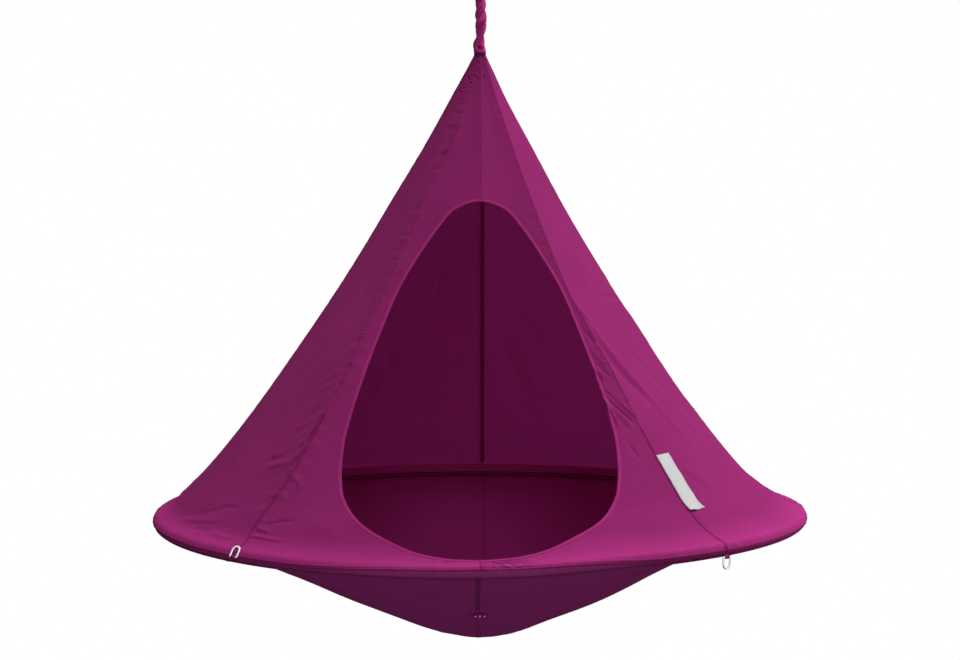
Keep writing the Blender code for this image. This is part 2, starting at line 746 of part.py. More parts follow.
def hanging_rope(rope):
    count = round((THROAT_HEIGHT - ROPE_FOOT) / ROPE_LAY * ROPE_STEPS)
    heights = np.linspace(ROPE_FOOT, THROAT_HEIGHT, count + 1)
    route = np.concatenate([strand(heights, 0), eye_points(13), strand(heights, math.pi)[::-1]])
    wire_piece("hanging_rope", route, ROPE_RADIUS, "rope", rope, sides=2)
    fine = np.linspace(ROPE_FOOT, THROAT_HEIGHT, 400)
    apart = np.linalg.norm(strand(fine, 0)[:, None] - strand(fine, math.pi)[None], axis=2).min()
    gap = 1000 * (apart - 2 * ROPE_RADIUS)
    print(f"hanging_rope: {len(route)} points, least gap between strands {gap:.2f} mm")


def stopper_knot(rope):
    """An overhand knot drawn tight: a trefoil of the same rope."""
    t = np.linspace(0, 2 * math.pi, KNOT_POINTS, endpoint=False)
    out = KNOT_RADIUS + KNOT_COIL * np.cos(3 * t)
    z = KNOT_COIL_TALL * np.sin(3 * t) + KNOT_HEIGHT + RING_PLANE
    route = np.stack([out * np.cos(2 * t), out * np.sin(2 * t), z], 1)
    wire_piece("stopper_knot", route, ROPE_RADIUS, "rope", rope, closed=True, sides=2)
    apart = np.linalg.norm(route[:, None] - route[None], axis=2)
    step = np.abs(np.subtract.outer(np.arange(KNOT_POINTS), np.arange(KNOT_POINTS)))
    away = np.minimum(step, KNOT_POINTS - step) > KNOT_POINTS / 8
    print(f"stopper_knot: least gap to itself {1000 * (apart[away].min() - 2 * ROPE_RADIUS):.2f} mm")


def rope_sheath(rope):
    """The canvas sleeve drawn over the rope: gathered full at its foot, then twisted with the strands."""
    foot = CANOPY_TOP + GAP
    tall = SHEATH_TOP - foot
    heights = foot + tall * np.concatenate([[0, 0.035, 0.08, 0.12, 0.16, 0.21], np.linspace(0.27, 1, 13)])
    gather = ((0, 0.55), (0.035, 0.85), (0.08, 1.0), (0.13, 0.8), (0.22, 0.05), (0.3, 0), (1, 0))
    swell = smooth_through(gather, (heights - foot) / tall)
    middle = SHEATH_RADIUS + (SHEATH_BULGE - SHEATH_RADIUS) * swell
    turn = 2 * math.pi * np.arange(SHEATH_SIDES) / SHEATH_SIDES
    twist = 2 * math.pi * (heights - THROAT_HEIGHT) / ROPE_LAY + math.pi / 2
    lobe = SHEATH_LOBE * np.cos(2 * (turn[None] - twist[:, None]))

    def loops(depth):
        radius = middle[:, None] + lobe - depth
        z = np.broadcast_to(heights[:, None] + RING_PLANE, radius.shape)
        return np.stack([radius * np.cos(turn), radius * np.sin(turn), z], -1)

    rings = np.concatenate([loops(0), loops(SHEATH_THICK)[::-1]])
    mesh_piece("rope_sheath", *rings_joined(rings, True), "canvas", rope)


def neck_tie(tent):
    """Cord wound round the gathered neck."""
    steps = 12 * TIE_TURNS
    turn = np.linspace(0, 2 * math.pi * TIE_TURNS, steps + 1)
    radius = (NECK_RADIUS + GAP + TIE_RADIUS) / math.cos(math.pi / 12)
    middle = NECK_HEIGHT + NECK_CUFF / 2 + RING_PLANE
    z = middle + TIE_PITCH * (turn / (2 * math.pi) - TIE_TURNS / 2)
    route = np.stack([radius * np.cos(turn), radius * np.sin(turn), z], 1)
    wire_piece("neck_tie", route, TIE_RADIUS, "canvas", tent, sides=1)
    print(f"neck_tie: least gap between turns {1000 * (TIE_PITCH - 2 * TIE_RADIUS):.2f} mm")


def apex_collar(tent):
    """A turned cone inside the neck, which the knot pulls up against the tapes."""
    side = GORE_ANGLE / 2

    def fit(height):
        step = 1e-4
        slope = (canopy_radius(side, height + step) - canopy_radius(side, height - step)) / (2 * step)
        stack = CANVAS + TAPE_SEAT + TAPE + GAP
        return float(canopy_radius(side, height) - stack * math.hypot(1, float(slope)))

    base, top = COLLAR_FOOT, COLLAR_TOP
    outline = [
        (COLLAR_BORE, base + COLLAR_EDGE),
        (COLLAR_BORE + COLLAR_EDGE, base),
        (fit(base) - COLLAR_SHOULDER, base),
        (fit(base + COLLAR_SHOULDER), base + COLLAR_SHOULDER),
        (fit(top), top),
        (COLLAR_BORE + COLLAR_EDGE * 0.75, top),
        (COLLAR_BORE, top - COLLAR_EDGE * 0.75),
    ]
    turned("apex_collar", outline, (0, 0, RING_PLANE), "turned_wood", tent)


def thimble(rope):
    """A channel round the rope's eye, open outwards, its two ends meeting at the throat."""
    legs = np.linspace(0, 1, 4)[:-1, None]
    crown = eye_points(15)
    throat = np.array([0, PAIR_RADIUS, THROAT])
    first = throat + (crown[0] - throat) * legs
    line = np.concatenate([first, crown, first[::-1] * (1, -1, 1)])
    keep = line[:, 2] > THROAT + 2 * ROPE_RADIUS
    line = line[keep]
    along = np.gradient(line, axis=0)
    along /= np.linalg.norm(along, axis=1)[:, None]
    side = np.array([1.0, 0, 0])
    inward = np.cross(side, along)
    arc = np.radians(np.linspace(-90, 90, 7))
    radii = ((ROPE_RADIUS + GAP, arc), (THIMBLE_SHELL, arc[::-1]))
    section = np.concatenate([r * np.stack([np.cos(a), np.sin(a)], 1) for r, a in radii])
    rings = line[:, None] + section[None, :, :1] * inward[:, None] + section[None, :, 1:] * side
    mesh_piece("thimble", *rings_joined(rings, False), "steel", rope)


def karabiner_body(karabiner):
    """An oval of wire, open where the gate closes it; a flat nose above and a tang for the pin below."""
    half = KARABINER_HALF_WIDTH
    nose = PIN_HEIGHT + GATE_LENGTH + GATE_SEAT
    tang = PIN_HEIGHT - GATE_RADIUS - GATE_SEAT
    top = KARABINER_TOP - half
    low = KARABINER_FOOT + half
    bend = np.radians(np.linspace(0, 180, 13))
    over = np.stack([half * np.cos(bend), 0 * bend, top + half * np.sin(bend)], 1)
    under = np.stack([-half * np.cos(bend), 0 * bend, low - half * np.sin(bend)], 1)
    shoulder = min(nose + NOSE_SHOULDER, top)
    start = [[half, 0, nose], [half, 0, nose + 0.9 * NOSE_SHOULDER], [half, 0, shoulder]]
    route = np.concatenate([start, over[1:], under, [[half, 0, tang]]])
    thin = NOSE_WIRE / KARABINER_WIRE
    swell = np.ones(len(route))
    swell[:2] = thin
    wire = wire_piece("karabiner_body", route, KARABINER_WIRE, "steel", karabiner, sides=3, swell=swell)
    body = as_mesh(wire)
    grip = NOSE_THICK / 2
    inner = half - NOSE_WIRE * 0.55
    tongue = box_solid(
        "nose_tongue",
        (inner, -grip, nose - NOSE_LENGTH),
        (half + NOSE_WIRE * 0.85, grip, nose + WELD_ROOT),
        "steel",
        karabiner,
    )
    cheek = TANG_THICK / 2
    foot = box_solid(
        "tang_foot",
        (half - TANG_HALF_WIDTH, -cheek, tang - WELD_ROOT),
        (half + TANG_HALF_WIDTH, cheek, PIN_HEIGHT),
        "steel",
        karabiner,
    )
    centre = (half, 0, PIN_HEIGHT)
    head = round_bar("tang_head", centre, TANG_HALF_WIDTH, TANG_THICK, "Y", "steel", karabiner)
    hole = round_bar("tang_hole", centre, PIN_RADIUS + GAP, 3 * TANG_THICK, "Y", "steel", karabiner)
    combine(body, tongue, "UNION")
    combine(body, foot, "UNION")
    combine(body, head, "UNION")
    combine(body, hole, "DIFFERENCE")
    round_bar("gate_pin", centre, PIN_RADIUS, 2 * (GATE_RADIUS - GAP), "Y", "steel", karabiner)


def karabiner_gate(gate):
    """A bar with a round foot on its pin, a slot for the tang and a blind slot for the nose."""
    half = KARABINER_HALF_WIDTH
    centre = (half, 0, PIN_HEIGHT)
    foot = np.radians(np.linspace(-90, 0, 6))
    outline = [(GATE_RADIUS * math.cos(a), GATE_RADIUS * math.sin(a)) for a in foot]
    outline[0] = (0, -GATE_RADIUS)
    chamfer = GATE_CHAMFER
    outline += [(GATE_RADIUS, GATE_LENGTH - chamfer), (GATE_RADIUS - chamfer, GATE_LENGTH), (0, GATE_LENGTH)]
    bar = turned("karabiner_gate", outline, centre, "steel", gate, sides=20)
    wide = 2 * GATE_RADIUS
    slot = TANG_THICK / 2 + GAP
    tang_slot = box_solid(
        "tang_slot",
        (half - wide, -slot, PIN_HEIGHT - wide),
        (half + wide, slot, PIN_HEIGHT + TANG_HALF_WIDTH + 3 * GAP),
        "steel",
        gate,
    )
    grip = NOSE_THICK / 2 + GAP
    top = PIN_HEIGHT + GATE_LENGTH
    nose_slot = box_solid(
        "nose_slot",
        (half - NOSE_WIRE * 0.55 - GAP, -grip, top - NOSE_LENGTH - GAP),
        (half + wide, grip, top + wide),
        "steel",
        gate,
    )
    hole = round_bar("gate_hole", centre, PIN_RADIUS + GAP, 3 * wide, "Y", "steel", gate)
    for cutter in (tang_slot, nose_slot, hole):
        combine(bar, cutter, "DIFFERENCE")


def lock_sleeve(lock):
    """The screw sleeve on the gate, run down to its open place."""
    bore = GATE_RADIUS + GAP
    edge = LOCK_CHAMFER
    low, high = LOCK_ABOVE_PIN, LOCK_ABOVE_PIN + LOCK_LENGTH
    outline = [
        (bore, low),
        (LOCK_RADIUS - edge, low),
        (LOCK_RADIUS, low + edge),
        (LOCK_RADIUS, high - edge),
        (LOCK_RADIUS - edge, high),
        (bore, high),
    ]
    turned("lock_sleeve", outline, (KARABINER_HALF_WIDTH, 0, PIN_HEIGHT), "steel", lock, sides=20)


def ceiling_fitting(mount):
    """A round plate with a welded staple below and its screws running up into the ceiling."""
    outline = [
        (0, 0),
        (PLATE_RADIUS, 0),
        (PLATE_RADIUS, PLATE_BEVEL - PLATE_THICK),
        (PLATE_RADIUS - PLATE_BEVEL, -PLATE_THICK),
        (0, -PLATE_THICK),
    ]
    plate = turned("ceiling_plate", outline[::-1], (0, 0, 0), "steel", mount, sides=32)
    for number in range(SCREWS):
        turn = math.radians(360 / SCREWS * (number + 0.5))
        centre = (SCREW_CIRCLE * math.cos(turn), SCREW_CIRCLE * math.sin(turn), 0)
        name, bore, through = f"screw_hole_{number + 1}", SCREW_RADIUS + GAP, 4 * PLATE_THICK
        hole = round_bar(name, centre, bore, through, "Z", "steel", mount, sides=12)
        combine(plate, hole, "DIFFERENCE")
        under = -PLATE_THICK - GAP
        point = SCREW_LENGTH - PLATE_THICK
        profile = [
            (0, under - SCREW_HEAD_HIGH),
            (SCREW_HEAD * 0.7, under - SCREW_HEAD_HIGH),
            (SCREW_HEAD, under - SCREW_HEAD_HIGH * 0.45),
            (SCREW_HEAD, under),
            (SCREW_RADIUS, under),
            (SCREW_RADIUS, point - 2 * SCREW_RADIUS),
            (0, point),
        ]
        turned(f"plate_screw_{number + 1}", profile, centre, "steel", mount, sides=12)
    bend = np.radians(np.linspace(0, -180, 13))
    bow = np.stack([0 * bend, STAPLE_HALF_WIDTH * np.cos(bend), STAPLE_HALF_WIDTH * np.sin(bend)], 1)
    bow[:, 2] += STAPLE_BAR + STAPLE_HALF_WIDTH
    weld = -PLATE_THICK - GAP
    ends = [[0, STAPLE_HALF_WIDTH, weld]], [[0, -STAPLE_HALF_WIDTH, weld]]
    wire_piece("staple_eye", np.concatenate([ends[0], bow, ends[1]]), STAPLE_WIRE, "steel", mount, sides=3)


def build():
    clear_scene()
    mount = pivot("ceiling_mount", (0, 0, 0))
    karabiner = pivot("karabiner_pivot", (0, 0, STAPLE_BAR), mount)
    gate = pivot("gate_pivot", (KARABINER_HALF_WIDTH, 0, PIN_HEIGHT), karabiner)
    lock = pivot("lock_slide", (KARABINER_HALF_WIDTH, 0, PIN_HEIGHT), gate)
    rope = pivot("rope_pivot", (0, 0, KARABINER_FOOT), karabiner)
    tent = pivot("tent_pivot", (0, 0, RING_PLANE + NECK_HEIGHT), rope)
    ceiling_fitting(mount)
    karabiner_body(karabiner)
    karabiner_gate(gate)
    lock_sleeve(lock)
    thimble(rope)
    hanging_rope(rope)
    stopper_knot(rope)
    rope_sheath(rope)
    neck_tie(tent)
    apex_collar(tent)
    canopy_gores(tent)
    bowl_gores(tent)
    seam_tapes(tent)
    ring_tubes(tent)
    rim_sleeve(tent)
    door_binding(tent)
    side_label(tent)
    tether_loop(tent)
    for side, azimuth, turn in (("right", HOOK_AZIMUTH, 0), ("left", -HOOK_AZIMUTH, LEFT_HOOK_TURN)):
        hook = pivot(f"{side}_hook_pivot", hook_frame(azimuth)[0], tent)
        hook_ring(f"hook_ring_{side}", azimuth, turn, hook)
        hook_tab(f"hook_tab_{side}", azimuth, tent)
    print(f"ring plane at {RING_PLANE:.4f} m, karabiner foot {KARABINER_FOOT:.4f} m, pin {PIN_HEIGHT:.4f} m")


build()
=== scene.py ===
"""Cocoon hammock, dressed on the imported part: sewn canvas, rope and metal fittings.

Metres, +Z up, the door faces -Y. The origin is the ceiling face of the plate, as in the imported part.
Azimuths are in degrees from the front, towards +X. Heights are measured from the middle plane of the ring.
"""

import math

import bmesh
import bpy
import numpy as np
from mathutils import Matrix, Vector


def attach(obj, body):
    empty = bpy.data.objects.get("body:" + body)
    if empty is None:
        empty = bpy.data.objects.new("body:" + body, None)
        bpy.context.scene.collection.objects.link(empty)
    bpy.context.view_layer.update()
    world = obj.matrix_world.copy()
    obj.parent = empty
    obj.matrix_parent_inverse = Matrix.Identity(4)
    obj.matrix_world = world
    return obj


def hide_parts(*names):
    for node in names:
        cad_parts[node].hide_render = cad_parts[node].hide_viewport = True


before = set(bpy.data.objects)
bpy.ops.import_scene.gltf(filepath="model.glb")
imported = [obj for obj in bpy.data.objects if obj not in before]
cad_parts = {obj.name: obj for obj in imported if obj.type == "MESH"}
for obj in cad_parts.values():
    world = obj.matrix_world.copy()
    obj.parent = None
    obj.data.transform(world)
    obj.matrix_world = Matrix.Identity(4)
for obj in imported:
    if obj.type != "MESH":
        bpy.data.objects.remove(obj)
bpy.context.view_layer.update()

# Degrees of one gore, and the way up
GORE = 45.0
UP = np.array([0, 0, 1.0])

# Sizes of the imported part
RING_RADIUS = 0.7355
TUBE_RADIUS = 0.0125
TUBE_WALL = 0.0015
FIRST_JOINT = 18
JOINER_LENGTH = 0.120
CANVAS = 0.0012
SLEEVE_OUTER = 0.01449
SEAT_ON_SLEEVE = 0.01599
NECK_HEIGHT = 1.058
NECK_RADIUS = 0.0123
CANOPY_TOP = 1.067
ROUND_BELOW = 0.5502
DOOR_TOP = 0.734
DOOR_BOTTOM = 0.0206
DOOR_HALF_WIDTH = 0.2966
DOOR_OUTLINE = (
    (0.000, 0.000), (0.220, 0.003), (0.430, 0.013), (0.684, 0.046), (0.844, 0.079), (0.938, 0.117),
    (0.984, 0.156), (1.000, 0.217), (0.990, 0.278), (0.942, 0.364), (0.840, 0.492), (0.718, 0.623),
    (0.611, 0.726), (0.474, 0.823), (0.306, 0.922), (0.186, 0.974), (0.000, 1.000),
)
LABEL_WIDTH = 0.051
TETHER_WIDTH = 0.026
TETHER_TAIL = 0.007
TETHER_LOOP = 0.015
TETHER_RISE = 0.0085
HOOK_WIRE = 0.00225
HOOK_WIDTH = 0.0195
HOOK_DROP = 0.024
HOOK_CORNER = 0.003
HOOK_OFF_RING = 0.0205
HOOK_AZIMUTH = 43
LEFT_HOOK_TURN = 213
ROPE_RADIUS = 0.004
PAIR_RADIUS = 0.0043
ROPE_LAY = 0.064
THROAT_HEIGHT = 1.200
ROPE_FOOT = 1.0103
KNOT_HEIGHT = 1.0001
KNOT_RADIUS = 0.0100
KNOT_COIL = 0.0047
KNOT_COIL_TALL = 0.0056
THIMBLE_WALL = 0.0015
EYE_RADIUS = 0.0158
EYE_CENTRE = -0.1344
THROAT = -0.16256
RING_PLANE = -1.36256
STAPLE_BAR = -0.040
KARABINER_TOP = -0.0297
KARABINER_FOOT = -0.1297
KARABINER_HALF_WIDTH = 0.021
PIN_HEIGHT = -0.0995
GATE_RADIUS = 0.0045
GATE_LENGTH = 0.0436
LOCK_ABOVE_PIN = 0.006
LOCK_LENGTH = 0.020
LOCK_RADIUS = 0.0072
PLATE_THICK = 0.006
STAPLE_WIRE = 0.005
STAPLE_HALF_WIDTH = 0.017
SCREW_OUT = 0.029
SCREW_HEAD = 0.0050
SCREW_SHANK = 0.0026
JOINER_RADIUS = 0.0107
JOINER_WALL = 0.0020
TAB_WIDTH = 0.012
FACET = 9

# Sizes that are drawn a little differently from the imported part, after the photograph
BOWL_DEPTH = 0.2893
LABEL_LOW = 0.080
LABEL_HIGH = 0.190
TETHER_OUT = 0.326
TIE_RADIUS = 0.0009
TIE_PITCH = 0.0021
TIE_HEIGHT = NECK_HEIGHT + 0.0045

# Sizes of the sewing. The rim's angles are degrees round the tube's section: 0 faces out, 90 up
LEAVE_ANGLE = 68
LAP_RADIUS = 0.0160
BOWL_LAP = -42
BOWL_LEAVE = -79.4
CLOTH_FOOT = 0.01483
SEAM_BAND = 0.0090
SEAM_RISE = 0.0013
BAND_SHARE = 0.42
PITCH = 0.0034
STITCH_SHARE = 0.8
THREAD_HALF = 0.00045
DIMPLE_HALF = 0.0016
YARN = 0.0009
LAP_ROWS = 16
BOWL_LAP_ROWS = 11
FINE_ABOVE = 0.92
POLE = 0.0006
SMALL_STEP = 1e-4
WEBBING_HALF = 0.0007
TACK_HALF = 0.0021

# Bar tacks on the tether loop: name, place along the seam's cross line, and how plump
BAR_TACKS = (("left", -0.0098, 0.0016), ("middle", 0.0, 0.0024), ("right", 0.0098, 0.0016))

# The hole rubbed through the sheath
HOLE_HEIGHT = 1.0760
HOLE_HALF_WIDTH = 0.0056
HOLE_HALF_HEIGHT = 0.0043

# Half of the binding's section: millimetres past the door's cut edge, and off the canvas's middle
BINDING_OUTLINE = (
    (-2.0, 0.2), (-2.0, 1.2), (-1.6, 1.5), (-0.8, 1.6), (0.0, 1.5), (0.6, 1.3), (1.1, 1.25), (1.7, 1.45),
    (2.6, 1.8), (3.4, 1.8), (4.2, 1.45), (4.7, 0.85), (5.0, 0.0),
)

# Puckers along the seams as waves: share, period in metres, and the shift from each seam to the next
CANOPY_PUCKERS = ((1.0, 0.034, 2.3), (0.7, 0.021, 4.1), (0.8, 0.059, 1.3))
BOWL_PUCKERS = ((1.0, 0.037, 2.9), (0.7, 0.023, 1.0))
PUCKER_REACH = 0.018

# Slanting strokes on the lip: their periods, and the place in front of which they show
LIP_PERIODS = (0.0235, 0.0137)
LIP_FRONT = -0.71

# The seam's band and its folded edge get their painted shade only in front of this place
BAND_FRONT = -0.36

# Metres over and under the ring within which the cloth follows the ring's rise
FADE_OVER = 0.10
FADE_UNDER = 0.16

# Colours
PLUM = (0.46, 0.039, 0.237)
# The seat's plum is the canopy's made paler: painted light on the dimly lit bowl, inside and under.
LIT_SEAT_PLUM = (0.60, 0.060, 0.365)
# The sleeve's plum is the canopy's made paler still: painted light on the hem round the ring.
LIT_SLEEVE_PLUM = (0.78, 0.125, 0.50)
LIT_THROUGH = (0.72, 0.20, 0.57, 1)
PALE_GREY = (0.71, 0.70, 0.70)
ROPE_RED = (0.95, 0.030, 0.018)
ROPE_FLECK = (0.80, 0.16, 0.02, 1)
STEEL = (0.44, 0.44, 0.46)
NICKEL = (0.70, 0.70, 0.71)
ALUMINIUM = (0.78, 0.78, 0.80)
ZINC = (0.42, 0.43, 0.45)
FLOOR_GREY = (0.24, 0.24, 0.24)
FLOOR_GLOW = (0.84, 0.84, 0.84)

# The camera, by a fit to the rim, the neck and the bowl's foot in the photograph
CAMERA_PLACE = (0, -5.280, -0.504)
CAMERA_TIP = 0.0811
SENSOR_WIDTH = 36
FOCAL_LENGTH = 86.1

# Lamps: name, place, size and power; all of them shine on one place
LIGHTS = (
    ("top_light", (0.9, -0.5, 7.6), 3.0, 440),
    ("side_light", (5.35, 2.2, 0.9), 2.0, 180),
    ("front_light", (0.3, -5.0, 3.2), 2.5, 44),
)
LIT_PLACE = (0, 0, -1.0)
SURROUND_LIGHT = 0.07

# How a grid is closed: a capped tube, and a closed loop
TUBE = {"around": True, "weld": True}
LOOP = {"around": True, "along": True, "weld": True}

# Outlines as shares: the canopy's along a seam, and the bowl's
CANOPY_OUTLINE = (
    (-0.0011, 1.0083), (0.0038, 0.9885), (0.0096, 0.9707), (0.0154, 0.9568), (0.0230, 0.9422),
    (0.0326, 0.9263), (0.0489, 0.9002), (0.0614, 0.8810), (0.081, 0.850), (0.139, 0.777),
    (0.225, 0.681), (0.368, 0.537), (0.559, 0.357), (0.750, 0.195), (0.893, 0.080), (1.000, 0.000),
)
BOWL_OUTLINE = (
    (0.00, 1.000), (0.14, 0.905), (0.27, 0.758), (0.41, 0.590), (0.615, 0.316), (0.82, 0.092),
    (1.004, -0.001),
)

# How far each front side seam stands nearer to the door than an eighth of the round: height, degrees
RIGHT_LEAN = (
    (0.00, 2.0), (0.04, 1.4), (0.08, 0.7), (0.11, 0.2), (0.15, 0.0), (0.35, 0.1), (0.43, 1.4),
    (0.54, 4.2), (0.73, 4.8), (0.84, 6.4), (1.07, 6.5),
)
LEFT_LEAN = (
    (0.00, 2.0), (0.05, 1.0), (0.15, 2.2), (0.25, 2.5), (0.38, 3.7), (0.54, 2.8), (0.73, 4.4),
    (0.80, 4.6), (0.87, 11.0), (0.92, 13.0), (1.07, 12.0),
)

# How far the hanging cloth stands to the left of the ring's axis, by height, and how much the ring's
# right front lies above its plane, by azimuth; all in millimetres
DRIFT = (
    (-0.290, 0.0), (-0.240, -4.0), (-0.200, -7.0), (-0.150, -14.0), (-0.090, -15.0), (-0.050, -9.0),
    (-0.016, 0.0), (0.000, 0.0), (0.026, -2.0), (0.044, -6.5), (0.053, -9.0), (0.067, -10.0),
    (0.080, -11.0), (0.110, -13.5), (0.150, -13.5), (0.330, -12.6), (0.510, -10.3), (0.690, -9.8),
    (0.865, -4.8), (0.955, -4.2), (1.030, -1.0), (1.070, 0.0),
)
RING_RISE = (
    (-180, 0.0), (-80, 2.0), (-40, 0.5), (-10, 0.5), (5, 3.0), (25, 13.0), (50, 14.0), (70, 12.5),
    (90, 9.0), (140, 0.0), (180, 0.0),
)

# Where the canopy's stitched edge lies on the rim, by azimuth: degrees above the tube's middle
LAP_ANGLES = (
    (-180, -8), (-90, -14), (-32, -12), (-14, 20), (0, 28), (14, 22), (32, -18), (90, -22), (180, -8),
)

GORE_NAMES = (
    "front_right", "right_front", "right_back", "back_right", "back_left", "left_back", "left_front",
    "front_left",
)
SEAM_NAMES = ("front", "front_right", "right", "back_right", "back", "back_left", "left", "front_left")

# How strongly each seam is drawn up, the front one first
DRAWN = np.array([0.15, 0.6, 0.35, 1.2, 0.8, 1.2, 0.35, 1.3])

# Folds in the canopy: rise and half width, the rise in FOLD_SCALE and the width in millimetres, then the
# line as azimuths and heights
FOLD_SCALE = 0.0020
FOLDS = (
    (2.5, 6, ((-43.8, 0.217), (-44.9, 0.198), (-46.6, 0.180), (-53.1, 0.159), (-55.1, 0.130))),
    (-2.2, 6, ((-48.1, 0.211), (-50.9, 0.186), (-56.2, 0.170))),
    (1.8, 5, ((-44.8, 0.154), (-41.4, 0.145), (-39.6, 0.131))),
    (1.5, 4, ((-44.1, 0.117), (-41.5, 0.108))),
    (1.6, 4, ((-44.0, 0.052), (-40.0, 0.047))),
    (1.4, 4, ((-44.1, 0.037), (-39.7, 0.036), (-35.7, 0.035))),
    (-1.6, 4, ((-42.9, 0.056), (-39.8, 0.067), (-35.9, 0.074))),
    (-1.8, 5, ((-67.0, 0.042), (-61.0, 0.063), (-56.7, 0.077), (-51.9, 0.078))),
    (1.6, 7, ((-70.5, 0.026), (-60.5, 0.042), (-54.4, 0.053))),
    (-1.6, 4, ((-60.6, 0.022), (-58.7, 0.028), (-54.9, 0.028))),
    (1.4, 5, ((-54.0, 0.030), (-50.0, 0.026), (-46.5, 0.028))),
    (1.3, 18, ((-32.9, 0.064), (-29.3, 0.065), (-24.4, 0.054))),
    (2.2, 7, ((-43.5, 0.305), (-44.2, 0.253), (-46.3, 0.207))),
    (-2.4, 8, ((-47.9, 0.312), (-50.5, 0.237), (-54.6, 0.182))),
    (-1.8, 6, ((-44.1, 0.362), (-43.6, 0.315), (-44.5, 0.273))),
    (-1.3, 3.2, ((38.5, 0.458), (40.6, 0.428), (42.5, 0.417))),
    (-1.5, 3.4, ((37.6, 0.391), (39.5, 0.372), (41.3, 0.351))),
    (2.0, 4, ((37.3, 0.373), (38.9, 0.346))),
    (-1.8, 3.6, ((36.9, 0.313), (39.2, 0.288), (42.0, 0.253))),
    (2.2, 4, ((36.3, 0.310), (37.1, 0.253))),
    (1.6, 3.2, ((40.8, 0.298), (43.3, 0.268))),
    (-1.6, 3, ((40.6, 0.495), (41.4, 0.468))),
    (-1.1, 2.6, ((37.6, 0.408), (40.9, 0.369))),
    (1.1, 2.6, ((37.3, 0.386), (40.4, 0.347))),
    (-1.2, 2.6, ((36.9, 0.334), (39.5, 0.304), (41.4, 0.281))),
    (1.0, 2.6, ((36.6, 0.300), (39.0, 0.275), (41.0, 0.250))),
    (-1.0, 2.6, ((36.3, 0.283), (38.6, 0.258), (40.4, 0.236))),
    (-0.9, 2.4, ((39.2, 0.436), (41.4, 0.402))),
    (2.6, 12, ((40.9, 0.517), (45.2, 0.432), (53.1, 0.327), (61.0, 0.208))),
    (-2.0, 12, ((42.7, 0.443), (46.9, 0.361), (55.9, 0.280), (57.5, 0.230))),
    (-1.2, 8, ((63.9, 0.515), (79.1, 0.502))),
    (-1.2, 4, ((37.3, 0.218), (38.5, 0.189))),
    (1.6, 9, ((50.4, 0.164), (56.9, 0.115))),
    (1.4, 9, ((82.0, 0.062), (86.0, 0.040), (84.0, 0.026))),
    (-1.0, 3.2, ((1.7, 0.0180), (3.2, 0.0165), (5.4, 0.0150))),
    (-1.0, 3.2, ((4.1, 0.0185), (5.8, 0.0170), (8.0, 0.0150))),
    (-1.2, 3, ((-7.5, 0.0170), (-5.4, 0.0200), (-3.9, 0.0220))),
    (-0.7, 1.9, ((-44.0, 1.056), (-7.3, 1.052))),
    (-0.8, 2.0, ((-35.8, 1.047), (-5.0, 1.039))),
    (-0.8, 2.2, ((-31.5, 1.031), (-6.6, 1.023))),
    (-0.9, 2.4, ((-27.0, 1.015), (-13.4, 1.006), (-1.5, 1.001))),
    (-1.0, 2.8, ((-56.8, 1.012), (-31.8, 0.994), (-21.1, 0.988))),
    (-0.8, 2.4, ((13.8, 1.000), (19.3, 1.012))),
    (-1.2, 4.0, ((-69.4, 0.971), (-72.5, 0.983))),
)

# Rope sheath: height, radius and sideways shift in millimetres
SHEATH_SHAPE = (
    (1.0650, 13.5, 0.4), (1.0690, 13.9, 0.0), (1.0745, 13.8, -1.8), (1.0825, 11.9, -2.4),
    (1.0916, 10.6, -1.4), (1.1029, 9.3, 0.6), (1.1188, 10.0, 1.0), (1.1267, 11.0, 2.0),
    (1.1369, 12.6, 3.0), (1.1482, 11.8, 2.6), (1.1600, 10.8, 1.6), (1.1709, 10.4, 1.2),
    (1.1950, 10.4, 0.8),
)


def studio_camera():
    """The photograph's view, level but for the tip."""
    data = bpy.data.cameras.new("camera")
    data.sensor_width = SENSOR_WIDTH
    data.lens = FOCAL_LENGTH
    data.clip_end = 100
    camera = bpy.data.objects.new("camera", data)
    camera.location = CAMERA_PLACE
    camera.rotation_euler = (math.pi / 2 - CAMERA_TIP, 0, 0)
    bpy.context.scene.collection.objects.link(camera)
    bpy.context.scene.camera = camera
    bpy.context.scene.view_settings.view_transform = "Standard"


class Value:
    """A shader socket that can stand in an arithmetic expression."""

    def __init__(self, finish, socket):
        self.finish = finish
        self.socket = socket

    def math(self, operation, first, second=0.0):
        return self.finish.node("Math", {"operation": operation}, {0: first, 1: second})

    def __add__(self, other):
        return self.math("ADD", self, other)

    def __radd__(self, other):
        return self.math("ADD", other, self)

    def __sub__(self, other):
        return self.math("SUBTRACT", self, other)

    def __rsub__(self, other):
        return self.math("SUBTRACT", other, self)

    def __mul__(self, other):
        return self.math("MULTIPLY", self, other)

    def __rmul__(self, other):
        return self.math("MULTIPLY", other, self)

    def __truediv__(self, other):
        return self.math("DIVIDE", self, other)

    def __pow__(self, other):
        return self.math("POWER", self, other)

    def __lt__(self, other):
        return self.math("LESS_THAN", self, other)

    def __gt__(self, other):
        return self.math("GREATER_THAN", self, other)

    def __abs__(self):
        return self.math("ABSOLUTE", self)

    def wave(self, period):
        return self.math("SINE", self * (2 * math.pi / period))

    def share_of(self, period):
        return self.math("FRACT", self / period)

    def positive(self):
        return self.math("MAXIMUM", self, 0.0)

    def capped(self):
        return self.math("MINIMUM", self, 1.0)

    def peak(self, middle, width):
        """1 at the middle, falling in straight lines to 0 at the width on both sides."""
        return (1 - abs(self - middle) / width).positive()


